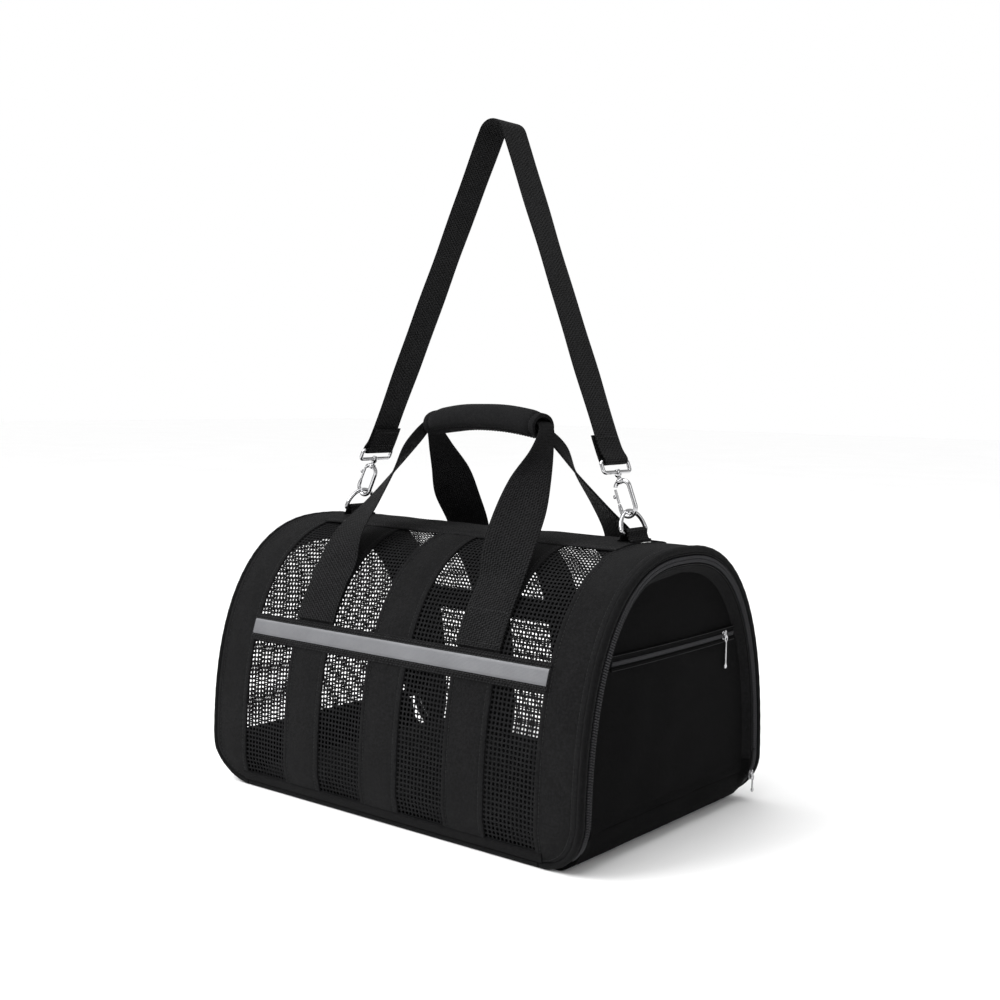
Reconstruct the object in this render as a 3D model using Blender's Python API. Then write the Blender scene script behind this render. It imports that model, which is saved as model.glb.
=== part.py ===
"""Soft-sided pet carrier: an arched bag of fabric bands and mesh windows, with a zipped end door,
two carry handles in one padded grip, and a shoulder strap on snap hooks.

Metres, +Z up. X runs along the bag, the door is at +X, and the origin is the middle of the base.
"""

import math

import bmesh
import bpy
import numpy as np
from mathutils import Matrix, Vector

# Driving dimensions of the bag
LENGTH = 0.457
HEIGHT = 0.262
BASE_HALF_WIDTH = 0.1463
HALF_WIDTH = 0.1534
FLARE_HEIGHT = 0.0305  # the sides flare out up to here, and arch over above it
ARCH_POWER = 2.5  # 2 would be an ellipse
CORNER_RADIUS = 0.047  # of the rims, seen from the side
GAP = 0.0003
ARCH_STEPS = 26

# Cloth
FABRIC = 0.0022
FABRIC_DEPTH = 0.0012  # of the fabric's face below the piping
MESH_THICKNESS = 0.0012
PIPING_RADIUS = 0.0035
PIPING = 2 * PIPING_RADIUS
END_BAND_INNER_X = 0.1790
MIDDLE_BAND_X = (-0.101, 0.0, 0.101)
MIDDLE_BAND_WIDTH = 0.047
RIDGE_HALF_WIDTH = 0.042
WEBBING_LOW_Z = 0.147
WEBBING_HIGH_Z = 0.172
REFLECTOR_HEIGHT = 0.014

# Ends: the base fabric turns up at both, to END_FOLD_Z
END_FOLD_X = 0.1945
END_FACE_X = 0.2185
END_FOLD_Z = 0.036
BASE_THICKNESS = 0.003
ZIP_INSET = 0.012  # of the zip's middle, from the rim
ZIP_DEPTH = 0.0036
DOOR_INSET = 0.025
DOOR_LOW_Z = 0.0385
ZIP_INNER_LOW_Z = 0.0510  # the open door's zip half stays clear of the slider and its pull
POCKET_ZIP_Z = 0.171
POCKET_ZIP_HALF_HEIGHT = 0.005
WINDOW_INSET = 0.028

# Handles
GRIP_Z = 0.3700
GRIP_HALF_LENGTH = 0.069
GRIP_HALF_WIDTH = 0.0170
GRIP_HALF_HEIGHT = 0.0125
GRIP_DROOP = 0.0075  # of its ends, below its middle
GRIP_WALL = 0.0040
HANDLE_WIDTH = 0.050
HANDLE_THICKNESS = 0.0022

# Shoulder strap
RING_X = 0.1735
RING_BAR_Z = 0.2705
RING_RADIUS = 0.020
RING_WIRE = 0.0020
RING_LEAN = math.radians(18)
STRAP_APEX = (0.0155, 0.673)  # where the legs would meet, over the bend
STRAP_WIDTH = 0.038
STRAP_THICKNESS = 0.0018
HOOK_WIRE = 0.0020
HOOK_HALF_WIDTH = 0.0080
HOOK_LOW = -0.0050  # below the ring's wire, along the strap's leg
HOOK_TOP = 0.0300
LOOP_LOW = 0.0370
LOOP_HIGH = 0.0480
LOOP_WIRE = 0.0018
LOOP_HALF_WIDTH = 0.0215

SIDES = {"right": 1, "left": -1}


# Materials and mesh helpers


def material(name, color, roughness, metallic=0.0):
    found = bpy.data.materials.get(name)
    if found:
        return found
    made = bpy.data.materials.new(name)
    made.use_nodes = True
    shader = made.node_tree.nodes["Principled BSDF"]
    shader.inputs["Base Color"].default_value = (*color, 1.0)
    shader.inputs["Roughness"].default_value = roughness
    shader.inputs["Metallic"].default_value = metallic
    return made


def black_fabric():
    return material("black_fabric", (0.012, 0.012, 0.013), 0.85)


def black_webbing():
    return material("black_webbing", (0.010, 0.010, 0.011), 0.75)


def black_mesh():
    return material("black_mesh", (0.015, 0.015, 0.016), 0.6)


def steel():
    return material("steel", (0.72, 0.72, 0.73), 0.22, 1.0)


def place(name, mesh, finish):
    body = bpy.data.objects.new(name, mesh)
    bpy.context.scene.collection.objects.link(body)
    mesh.materials.clear()
    mesh.materials.append(finish)
    return body


def mesh_object(name, bm, finish):
    bmesh.ops.recalc_face_normals(bm, faces=bm.faces)
    mesh = bpy.data.meshes.new(name)
    bm.to_mesh(mesh)
    bm.free()
    mesh.shade_smooth()
    mesh.set_sharp_from_angle(angle=math.radians(40))
    return place(name, mesh, finish)


def loft(name, rings, finish):
    """A closed body through rings of the same number of points, with flat ends."""
    bm = bmesh.new()
    rows = [[bm.verts.new(point) for point in ring] for ring in rings]
    count = len(rows[0])
    for first, second in zip(rows, rows[1:]):
        for i in range(count):
            j = (i + 1) % count
            bm.faces.new((first[i], first[j], second[j], second[i]))
    bm.faces.new(rows[0][::-1])
    bm.faces.new(rows[-1])
    return mesh_object(name, bm, finish)


def tube(name, points, radius, finish, resolution=2, cyclic=False):
    curve = bpy.data.curves.new(name, "CURVE")
    curve.dimensions = "3D"
    curve.bevel_depth = radius
    curve.bevel_resolution = resolution
    curve.use_fill_caps = True
    spline = curve.splines.new("POLY")
    spline.points.add(len(points) - 1)
    for knot, point in zip(spline.points, points):
        knot.co = (*point, 1.0)
    spline.use_cyclic_u = cyclic
    spline.use_smooth = True
    return place(name, curve, finish)


def plate(name, outline, low_x, high_x, finish):
    """An outline of (y, z) points, extruded along X."""
    rings = [[(x, y, z) for y, z in outline] for x in (low_x, high_x)]
    return loft(name, rings, finish)


def box(name, low, high, finish, bevel=0.0):
    bm = bmesh.new()
    bmesh.ops.create_cube(bm, size=1.0)
    low = Vector(low)
    high = Vector(high)
    for vertex in bm.verts:
        vertex.co = [(a + b) / 2 + c * (b - a) for a, b, c in zip(low, high, vertex.co)]
    if bevel:
        bmesh.ops.bevel(bm, geom=bm.edges, offset=bevel, segments=2, affect="EDGES")
    return mesh_object(name, bm, finish)


def boolean(target, other, operation):
    other.hide_render = True
    other.display_type = "WIRE"
    modifier = target.modifiers.new(operation.lower(), "BOOLEAN")
    modifier.operation = operation
    modifier.solver = "EXACT"
    modifier.object = other


# The bag's outline


def half_width(z):
    """Of the bag's side at a height, to the piping's face."""
    if z <= FLARE_HEIGHT:
        return BASE_HALF_WIDTH + (HALF_WIDTH - BASE_HALF_WIDTH) * z / FLARE_HEIGHT
    rise = (z - FLARE_HEIGHT) / (HEIGHT - FLARE_HEIGHT)
    return HALF_WIDTH * max(1 - rise**ARCH_POWER, 0) ** (1 / ARCH_POWER)


def arch_point(angle):
    """(y, z, outward y, outward z) on the arch, from the front at 0 to the rear at pi."""
    across = -math.copysign(abs(math.cos(angle)) ** (2 / ARCH_POWER), math.cos(angle))
    rise = max(math.sin(angle), 0) ** (2 / ARCH_POWER)
    height = HEIGHT - FLARE_HEIGHT
    steep = math.copysign(abs(across) ** (ARCH_POWER - 1), across) / HALF_WIDTH
    flat = rise ** (ARCH_POWER - 1) / height
    length = math.hypot(steep, flat)
    return (
        HALF_WIDTH * across,
        FLARE_HEIGHT + height * rise,
        steep / length,
        flat / length,
    )


def angle_at(z):
    rise = max(z - FLARE_HEIGHT, 0) / (HEIGHT - FLARE_HEIGHT)
    return math.asin(min(rise ** (ARCH_POWER / 2), 1))


def stations(low_z, steps=ARCH_STEPS):
    """Points over the whole arch, from the front at low_z to the rear at low_z."""
    start = angle_at(low_z)
    points = [arch_point(a) for a in np.linspace(start, math.pi - start, steps + 1)]
    if low_z < FLARE_HEIGHT:
        y = half_width(low_z)
        points = [(-y, low_z, -1, 0), *points, (y, low_z, 1, 0)]
    return points


def rim_x(z, depth):
    """X of the rim at a height, this far inside its face. The rim's lower corner is round."""
    middle = LENGTH / 2 - CORNER_RADIUS
    radius = CORNER_RADIUS - depth
    drop = max(CORNER_RADIUS - z, 0)
    return middle + math.sqrt(max(radius**2 - drop**2, 0))


def over_arch(name, section, low_z, finish, steps=ARCH_STEPS, side=1):
    """A section of (x, inset) points, swept over the arch. section is a function of height."""
    rings = [
        [(side * x, y - ny * inset, z - nz * inset) for x, inset in section(z)]
        for y, z, ny, nz in stations(low_z, steps)
    ]
    return loft(name, rings, finish)


def inset_outline(inset, low_z, high_z=None, steps=ARCH_STEPS):
    """(y, z) points of the arch, this far inside it, cut level at low_z and at high_z."""
    curve = [
        (y - ny * inset, z - nz * inset) for y, z, ny, nz in stations(0.0, 4 * steps)
    ]
    half = [(y, z) for y, z in curve if y >= 0][::-1]
    heights = [z for _, z in half]
    widths = [y for y, _ in half]
    top = high_z or heights[-1]
    turns = np.linspace(0, 1, steps // 2 + 1)
    levels = low_z + (top - low_z) * (np.sin(turns * math.pi / 2) if not high_z else turns)
    rear = [(float(np.interp(z, heights, widths)), float(z)) for z in levels]
    if not high_z:
        rear[-1] = (0.0, float(top))
    front = [(-y, z) for y, z in rear]
    return front + (rear[::-1] if high_z else rear[-2::-1])


# Bag pieces


def bands():
    low_z = PIPING + GAP
    inner = FABRIC_DEPTH + FABRIC

    def end_section(z):
        edge = max(rim_x(z, PIPING + GAP), END_BAND_INNER_X + 0.002)
        return (
            (END_BAND_INNER_X, FABRIC_DEPTH),
            (edge, FABRIC_DEPTH),
            (edge, inner),
            (END_BAND_INNER_X, inner),
        )

    over_arch("band_1", end_section, low_z, black_fabric(), side=-1)
    over_arch("band_5", end_section, low_z, black_fabric())
    for number, x in enumerate(MIDDLE_BAND_X, 2):
        low = x - MIDDLE_BAND_WIDTH / 2
        high = x + MIDDLE_BAND_WIDTH / 2
        section = ((low, FABRIC_DEPTH), (high, FABRIC_DEPTH), (high, inner), (low, inner))
        over_arch(f"band_{number}", lambda z, s=section: s, low_z, black_fabric())


def mesh_windows():
    edges = [-END_BAND_INNER_X]
    for x in MIDDLE_BAND_X:
        edges += [x - MIDDLE_BAND_WIDTH / 2, x + MIDDLE_BAND_WIDTH / 2]
    edges.append(END_BAND_INNER_X)
    outer = FABRIC_DEPTH + 0.0005
    inner = outer + MESH_THICKNESS
    for number in range(4):
        low = edges[2 * number] + GAP
        high = edges[2 * number + 1] - GAP
        section = ((low, outer), (high, outer), (high, inner), (low, inner))
        name = f"mesh_window_{number + 1}"
        over_arch(name, lambda z, s=section: s, PIPING + GAP, black_mesh())


def side_strip(name, side, low_z, high_z, half_length, face, finish):
    """A strip along the bag's front (-1) or rear (1), standing proud of the bands."""
    thickness = 0.0009
    rings = []
    for z in np.linspace(low_z, high_z, 4):
        y, z, ny, nz = arch_point(angle_at(float(z)))
        near = FABRIC_DEPTH - face
        ring = [
            (-half_length, near),
            (half_length, near),
            (half_length, near - thickness),
            (-half_length, near - thickness),
        ]
        rings.append([(x, side * -(y - ny * d), z - nz * d) for x, d in ring])
    return loft(name, rings, finish)


def strips():
    inside = END_BAND_INNER_X + 0.003
    middle = (WEBBING_LOW_Z + WEBBING_HIGH_Z) / 2
    half = REFLECTOR_HEIGHT / 2
    grey = material("reflective_tape", (0.36, 0.37, 0.39), 0.4)
    for name, side in (("front", -1), ("rear", 1)):
        side_strip(
            f"webbing_{name}", side, WEBBING_LOW_Z, WEBBING_HIGH_Z, inside, GAP, black_webbing()
        )
        side_strip(
            f"reflector_{name}", side, middle - half, middle + half, inside - 0.001, 0.0015, grey
        )


def ridge_strip():
    half_length = END_BAND_INNER_X + 0.003
    edge = math.acos((RIDGE_HALF_WIDTH / HALF_WIDTH) ** (ARCH_POWER / 2))
    near = FABRIC_DEPTH - GAP
    far = near - 0.0015
    rings = []
    for angle in np.linspace(edge, math.pi - edge, 9):
        y, z, ny, nz = arch_point(float(angle))
        ring = (
            (-half_length, near),
            (half_length, near),
            (half_length, far),
            (-half_length, far),
        )
        rings.append([(x, y - ny * d, z - nz * d) for x, d in ring])
    loft("ridge_strip", rings, black_fabric())


def rim_path(depth, inset, side, low_z):
    """Along the rim: from low_z at the front, over the arch, to low_z at the rear."""
    corner = []
    middle = LENGTH / 2 - CORNER_RADIUS
    radius = CORNER_RADIUS - depth
    start = math.acos(min((CORNER_RADIUS - low_z) / radius, 1))
    for angle in np.linspace(start, math.pi / 2, 6)[:-1]:
        z = CORNER_RADIUS - radius * math.cos(angle)
        corner.append((middle + radius * math.sin(angle), half_width(z) - inset, z))
    front = [(side * x, -y, z) for x, y, z in corner]
    rear = [(side * x, y, z) for x, y, z in reversed(corner)]
    over = [
        (side * (LENGTH / 2 - depth), y - ny * inset, z - nz * inset)
        for y, z, ny, nz in stations(CORNER_RADIUS)
    ]
    return front + over + rear


def piping():
    finish = material("black_piping", (0.009, 0.009, 0.010), 0.6)
    for name, side in SIDES.items():
        path = rim_path(PIPING_RADIUS, PIPING_RADIUS, side, PIPING_RADIUS)
        tube(f"piping_{name}", path, PIPING_RADIUS, finish)
    reach = LENGTH / 2 - CORNER_RADIUS - 4 * GAP
    y = half_width(PIPING_RADIUS) - PIPING_RADIUS
    for name, side in (("front", -1), ("rear", 1)):
        ends = [(-reach, side * y, PIPING_RADIUS), (reach, side * y, PIPING_RADIUS)]
        tube(f"piping_{name}", ends, PIPING_RADIUS, finish)


def rim_wires():
    radius = 0.00125
    inset = FABRIC_DEPTH + FABRIC + GAP + radius + 0.0002
    for name, side in SIDES.items():
        path = rim_path(PIPING + 0.0025, inset, side, 0.014)
        tube(f"rim_wire_{name}", path, radius, steel(), resolution=1)


def floor_panel():
    """The base fabric: one strip that turns up at both ends, up to the door and the end window."""
    flat_half_width = half_width(PIPING_RADIUS) - PIPING - GAP
    margins = {1: ZIP_INSET + 0.0008, -1: PIPING + 4 * GAP}
    rise = END_FOLD_Z
    reach = END_FACE_X - END_FOLD_X

    def end_rings(side):
        rings = []
        for degrees in (0, 18, 36, 54, 72, 90):
            turn = math.radians(degrees)
            x = END_FOLD_X + reach * math.sin(turn)
            z = rise * (1 - math.cos(turn))
            nx, nz = math.sin(turn) / reach, -math.cos(turn) / rise
            length = math.hypot(nx, nz)
            inner_x = x - BASE_THICKNESS * nx / length
            inner_z = z - BASE_THICKNESS * nz / length
            narrow = half_width(z) - margins[side]
            y = flat_half_width if degrees < 30 else narrow
            rings.append(
                [
                    (side * x, -y, z),
                    (side * x, y, z),
                    (side * inner_x, y, inner_z),
                    (side * inner_x, -y, inner_z),
                ]
            )
        return rings

    left = end_rings(-1)[::-1]
    loft("floor_panel", left + end_rings(1), black_fabric())


def base_inserts():
    board_low = BASE_THICKNESS + GAP
    board_high = board_low + 0.003
    board = material("base_board", (0.05, 0.05, 0.055), 0.6)
    box("base_board", (-0.188, -0.137, board_low), (0.188, 0.137, board_high), board, 0.0008)
    mat_low = board_high + GAP
    fleece = material("fleece", (0.03, 0.03, 0.033), 0.95)
    box("fleece_mat", (-0.186, -0.134, mat_low), (0.186, 0.134, mat_low + 0.012), fleece, 0.004)


def left_end():
    face = LENGTH / 2 - END_FACE_X  # depth of the window below the rim's face
    sheet = 0.0018

    def border_section(z):
        near = PIPING + 4 * GAP
        return (
            (rim_x(z, 0.0045), near),
            (rim_x(z, face - 0.001), near + 0.007),
            (rim_x(z, face - 0.001), WINDOW_INSET),
            (rim_x(z, face - 0.001 + sheet), WINDOW_INSET),
            (rim_x(z, face - 0.001 + sheet), near + 0.006),
            (rim_x(z, 0.0045 + 2 * sheet), near),
        )

    low_z = END_FOLD_Z + 0.001
    over_arch("left_end_border", border_section, low_z, black_fabric(), side=-1)
    outline = inset_outline(WINDOW_INSET + GAP, low_z)
    x = -END_FACE_X + 0.0005
    plate("left_end_mesh", outline, x, x + MESH_THICKNESS, black_mesh())


def half_zip(name, side, low_z):
    """One tape of the door's zip with its half of the teeth: outer (-1) or inner (1)."""
    finish = material("zip_tape", (0.010, 0.010, 0.011), 0.6)
    tooth = GAP / 2
    outer_edge = PIPING + 4 * GAP
    tape_edge = outer_edge if side < 0 else 2 * ZIP_INSET - outer_edge + 0.001

    def section(z):
        chain = ZIP_INSET + side * tooth
        chain_far = ZIP_INSET + side * 0.0018
        return (
            (rim_x(z, ZIP_DEPTH), tape_edge),
            (rim_x(z, ZIP_DEPTH), chain_far),
            (rim_x(z, ZIP_DEPTH - 0.0007), chain_far),
            (rim_x(z, ZIP_DEPTH - 0.0007), chain),
            (rim_x(z, ZIP_DEPTH + 0.0019), chain),
            (rim_x(z, ZIP_DEPTH + 0.0019), chain_far),
            (rim_x(z, ZIP_DEPTH + 0.0012), chain_far),
            (rim_x(z, ZIP_DEPTH + 0.0012), tape_edge),
        )

    over_arch(name, section, low_z, finish)


def door():
    """The zipped end: it swings out and down about the base fabric's upper edge."""
    low_z = DOOR_LOW_Z + 0.0015
    tape_edge = 2 * ZIP_INSET - PIPING + 0.001
    half_zip("zip_outer", -1, 0.012)
    half_zip("zip_inner", 1, ZIP_INNER_LOW_Z)

    def gusset_section(z):
        start = tape_edge + GAP
        face = LENGTH / 2 - END_FACE_X
        return (
            (rim_x(z, ZIP_DEPTH - 0.0003), start),
            (rim_x(z, face), DOOR_INSET - GAP),
            (rim_x(z, face + 0.0018), DOOR_INSET - GAP),
            (rim_x(z, ZIP_DEPTH + 0.0016), start),
        )

    over_arch("door_gusset", gusset_section, low_z, black_fabric())
    panel = inset_outline(DOOR_INSET, DOOR_LOW_Z)
    plate("door_panel", panel, END_FACE_X - 0.0025, END_FACE_X, black_fabric())
    pocket_top = POCKET_ZIP_Z - POCKET_ZIP_HALF_HEIGHT - GAP
    pocket = inset_outline(DOOR_INSET + 0.001, low_z, pocket_top)
    pocket_x = END_FACE_X + GAP
    plate("pocket_panel", pocket, pocket_x, pocket_x + 0.0015, black_fabric())


POCKET_ZIP_HALF_LENGTH = 0.104
POCKET_SLIDER_Y = 0.084


def pocket_zip():
    finish = material("zip_tape", (0.010, 0.010, 0.011), 0.6)
    x = END_FACE_X + GAP
    low_z = POCKET_ZIP_Z - POCKET_ZIP_HALF_HEIGHT
    high_z = POCKET_ZIP_Z + POCKET_ZIP_HALF_HEIGHT
    reach = POCKET_ZIP_HALF_LENGTH
    box("pocket_zip", (x, -reach, low_z), (x + 0.0015, reach, high_z), finish)
    zip_pull("pocket", x + 0.0018, POCKET_SLIDER_Y, POCKET_ZIP_Z, 0.033)


def zip_pull(name, x, y, z, length):
    """A slider whose back is at x, and its pull tab hanging in front of it."""
    slider = box(
        f"{name}_slider",
        (x, y - 0.0040, z - 0.0048),
        (x + 0.0024, y + 0.0040, z + 0.0048),
        steel(),
        0.0006,
    )
    tab_x = x + 0.0027
    width = 0.0022
    tab = box(
        f"{name}_pull",
        (tab_x, y - width, z - length),
        (tab_x + 0.0012, y + width, z),
        steel(),
        0.0003,
    )
    return slider, tab


def door_slider():
    z = 0.0265
    y = half_width(z) - ZIP_INSET
    zip_pull("door", rim_x(z + 0.005, ZIP_DEPTH - 0.0007) + GAP, y, z, 0.019)


# Carry handles


def smooth(knots, steps):
    """Catmull-Rom curve through rows of numbers, with this many steps between rows."""
    rows = np.array([knots[0], *knots, knots[-1]], float)
    curve = []
    for a, b, c, d in zip(rows, rows[1:], rows[2:], rows[3:]):
        for t in np.arange(steps) / steps:
            bend = (2 * a - 5 * b + 4 * c - d) * t**2 + (3 * b - a - 3 * c + d) * t**3
            curve.append((2 * b + (c - a) * t + bend) / 2)
    curve.append(rows[-1])
    return curve


def ribbon(name, rows, thickness, finish):
    """A flat strap. Each row holds its middle, x y z, and its half width as a vector, x y z."""
    middles = [Vector(row[:3]) for row in rows]
    halves = [Vector(row[3:]) for row in rows]
    rings = []
    for i, (middle, half) in enumerate(zip(middles, halves)):
        ahead = middles[min(i + 1, len(rows) - 1)] - middles[max(i - 1, 0)]
        up = ahead.cross(half).normalized() * thickness / 2
        rings.append(
            [middle - half - up, middle + half - up, middle + half + up, middle - half + up]
        )
    return loft(name, rings, finish)


def grip_droop(x):
    """How far the grip, and the handles in it, hang below their middle at a place along X."""
    return GRIP_DROOP * (x / GRIP_HALF_LENGTH) ** 2


def handle_leg(in_grip_z):
    """From the webbing strip, up over the band, to the middle of the grip, at +X and the front."""
    x = MIDDLE_BAND_X[2]
    half = HANDLE_WIDTH / 2
    face = HANDLE_THICKNESS / 2 + GAP - FABRIC_DEPTH
    rows = []
    for z, lift in ((WEBBING_HIGH_Z + 0.002, 0), (0.192, 0.0002), (0.210, 0.0010), (0.226, 0.0035)):
        y, z, ny, nz = arch_point(angle_at(z))
        rise = face + lift
        rows.append((x, y + ny * rise, z + nz * rise, half, 0, 0))
    nest = in_grip_z - GRIP_Z  # the upper handle also passes outside the lower one
    rows += [
        (0.0990, -0.0900, 0.2560, 0.0240, 0.0065, 0),
        (0.0915, -0.0640, 0.2860, 0.0195, 0.0138, 0),
        (0.0830 + nest, -0.0400, 0.3160, 0.0125, 0.0155, 0),
        (0.0790 + 1.2 * nest, -0.0180, 0.3430, 0.0030, 0.0140, 0),
        (0.0700 + nest, -0.0010, in_grip_z - 0.0078, 0.0005, 0.0098, 0),
        (0.0500, 0.0000, in_grip_z - grip_droop(0.0500), 0, 0.0100, 0),
        (0.0250, 0.0000, in_grip_z - grip_droop(0.0250), 0, 0.0105, 0),
        (0.0000, 0.0000, in_grip_z, 0, 0.0105, 0),
    ]
    return smooth(rows, 3)


def handles():
    spacing = HANDLE_THICKNESS + 0.0018
    for name, side, z in (("front", 1, GRIP_Z + spacing / 2), ("rear", -1, GRIP_Z - spacing / 2)):
        right = handle_leg(z)
        left = [row * (-1, 1, 1, 1, -1, 1) for row in right[-2::-1]]
        # The rear handle is the front one turned half round about Z.
        rows = [row * (side, side, 1, side, side, 1) for row in right + left]
        ribbon(f"handle_{name}", rows, HANDLE_THICKNESS, black_webbing())


FLAP_START = math.radians(200)
FLAP_END = math.radians(290)


def grip_ring(start, end, outer, x):
    """(x, y, z) points round the grip's wall between two angles. The grip's ends droop a little."""
    droop = grip_droop(x)
    turns = np.linspace(start, end, 15 if end - start > 2 else 6)
    wall = GRIP_WALL - 0.0005
    inner = [(a, wall) for a in turns[::-1]]
    return [
        (
            x,
            -(GRIP_HALF_WIDTH - depth) * math.cos(a),
            GRIP_Z - droop + (GRIP_HALF_HEIGHT - depth) * math.sin(a),
        )
        for a, depth in [(a, outer) for a in turns] + inner
    ]


def grip():
    finish = material("grip_fabric", (0.011, 0.011, 0.012), 0.8)
    gap = 0.06
    lengths = np.linspace(-GRIP_HALF_LENGTH, GRIP_HALF_LENGTH, 9)
    around = (FLAP_END + gap, FLAP_START - gap + 2 * math.pi)
    loft("grip_wrap", [grip_ring(*around, 0.0, x) for x in lengths], finish)
    flap = (FLAP_START, FLAP_END)
    loft("grip_flap", [grip_ring(*flap, 0.0, 0.97 * x) for x in lengths], finish)


# Rings, hooks and the shoulder strap


def ring_rows(side):
    """The D-ring's wire: a straight bar along Y, and a round bow that leans inwards."""
    corner = 0.0030
    turns = np.linspace(math.radians(12), math.radians(168), 17)
    bow = [(RING_RADIUS * math.cos(a), RING_RADIUS * math.sin(a)) for a in turns]
    y = RING_RADIUS - 0.0004
    outline = [(y, 0.0012), *bow, (-y, 0.0012), (-y + corner, 0), (y - corner, 0)]
    lean = math.sin(RING_LEAN)
    rise = math.cos(RING_LEAN)
    return [(side * (RING_X - v * lean), u, RING_BAR_Z + v * rise) for u, v in outline]


def ring_tab(name, side):
    """A webbing loop sewn to the ridge, round the ring's bar."""
    bore = RING_WIRE + GAP
    outer = bore + 0.0018
    foot_z = HEIGHT - FABRIC_DEPTH + GAP + 0.0018
    turns = np.linspace(math.radians(-30), math.radians(210), 11)
    top = [(outer * math.cos(a), RING_BAR_Z + outer * math.sin(a)) for a in turns]
    outline = [(0.0085, foot_z), (0.0085, foot_z + 0.0012), *top]
    outline += [(-0.0085, foot_z + 0.0012), (-0.0085, foot_z)]
    half = 0.0165
    rings = [[(side * RING_X + x, y, z) for x, z in outline] for y in (-half, half)]
    tab = loft(name, rings, black_webbing())
    bm = bmesh.new()
    turn = Matrix.Rotation(math.pi / 2, 4, "X")
    at = Matrix.Translation((side * RING_X, 0, RING_BAR_Z))
    bmesh.ops.create_cone(
        bm, segments=16, radius1=bore, radius2=bore, depth=4 * half, cap_ends=True, matrix=at @ turn
    )
    boolean(tab, mesh_object(f"{name}_bore", bm, black_webbing()), "DIFFERENCE")


def leg_frame(side):
    """The strap leg's frame: it starts at the ring's wire, X is across, and Z runs up the leg."""
    start = Vector(
        (
            side * (RING_X - RING_RADIUS * math.sin(RING_LEAN)),
            0,
            RING_BAR_Z + RING_RADIUS * math.cos(RING_LEAN),
        )
    )
    up = (Vector((STRAP_APEX[0], 0, STRAP_APEX[1])) - start).normalized()
    forward = Vector((0, 1, 0))
    across = forward.cross(up)
    axes = Matrix((across, forward, up)).transposed().to_4x4()
    return Matrix.Translation(start) @ axes


def along(frame, points):
    return [frame @ Vector(point) for point in points]


NOSE = 0.0085
GATE_TOP = 0.0235


def hook(name, frame):
    """The snap hook: a round bowl, a spine on its +X side, a crown and a swivel post."""
    centre = HOOK_LOW + HOOK_HALF_WIDTH
    half = HOOK_HALF_WIDTH
    bowl = [(half * math.cos(a), centre + half * math.sin(a)) for a in np.linspace(0, -math.pi, 13)]
    shoulder = 0.0225
    spine = [(0.0, HOOK_TOP - 0.001), (0.0045, HOOK_TOP - 0.0025), (half, shoulder)]
    path = [*spine, *bowl, (-half, NOSE)]
    body = tube(name, along(frame, [(x, 0, z) for x, z in path]), HOOK_WIRE, steel())
    ends = along(frame, [(0, 0, HOOK_TOP - 0.0045), (0, 0, LOOP_LOW - LOOP_WIRE - GAP)])
    post = tube(f"{name}_post", ends, 0.0032, steel(), resolution=3)
    crown_path = [(x, 0, z) for x, z in ((-0.0068, GATE_TOP + 0.0022), (0, HOOK_TOP - 0.0025))]
    crown = tube(f"{name}_crown", along(frame, crown_path), 0.0018, steel())
    join(body, post, crown)


def to_mesh(body):
    """Turns a curve object into a mesh one of the same name, ready for a Boolean."""
    graph = bpy.context.evaluated_depsgraph_get()
    mesh = bpy.data.meshes.new_from_object(body.evaluated_get(graph))
    name = body.name
    finish = body.data.materials[0]
    bpy.data.objects.remove(body)
    bm = bmesh.new()
    bm.from_mesh(mesh)
    bmesh.ops.remove_doubles(bm, verts=bm.verts, dist=1e-6)
    bpy.data.meshes.remove(mesh)
    return mesh_object(name, bm, finish)


def join(body, *others):
    body = to_mesh(body)
    for other in others:
        boolean(body, to_mesh(other), "UNION")
    return body


def gate(name, frame):
    """The hook's sprung gate, from a pivot under the crown down to the nose."""
    half = HOOK_HALF_WIDTH
    path = [(-half, 0, NOSE + HOOK_WIRE * 0.5 + GAP), (-half + 0.0004, 0, GATE_TOP - 0.0012)]
    tube(name, along(frame, path), 0.0013, steel(), resolution=1)


def strap_loop(name, frame):
    """The flat wire loop that the strap is sewn round, turning on the hook's post."""
    half = LOOP_HALF_WIDTH
    corner = 0.0030
    low = LOOP_LOW
    high = LOOP_HIGH
    outline = []
    for y, z, start in (
        (half - corner, high - corner, 0),
        (-half + corner, high - corner, 90),
        (-half + corner, low + corner, 180),
        (half - corner, low + corner, 270),
    ):
        for degrees in (0, 45, 90):
            a = math.radians(start + degrees)
            outline.append((0, y + corner * math.cos(a), z + corner * math.sin(a)))
    tube(name, along(frame, outline), LOOP_WIRE, steel(), cyclic=True)


STRAP_FOLD = 0.0260


def strap_end(frame, side):
    """Middles of the strap's end, in XZ: from the sewn tail, round the loop, and up the leg."""
    turn = LOOP_WIRE + GAP + STRAP_THICKNESS / 2
    tail = side * 2 * turn
    rows = [(tail * 0.55, LOOP_HIGH + STRAP_FOLD), (tail * 0.55, LOOP_HIGH + 0.0120)]
    rows.append((tail / 2 * 1.02, LOOP_HIGH + 0.0020))
    for a in np.linspace(0, math.pi, 7)[1:-1]:
        rows.append((side * turn * math.cos(a), LOOP_HIGH - turn * math.sin(a)))
    rows += [(-side * turn, LOOP_HIGH + 0.0020), (-side * 0.0006, LOOP_HIGH + 0.0110)]
    rows.append((0.0, LOOP_HIGH + STRAP_FOLD))
    return [frame @ Vector((x, 0, z)) for x, z in rows]


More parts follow.
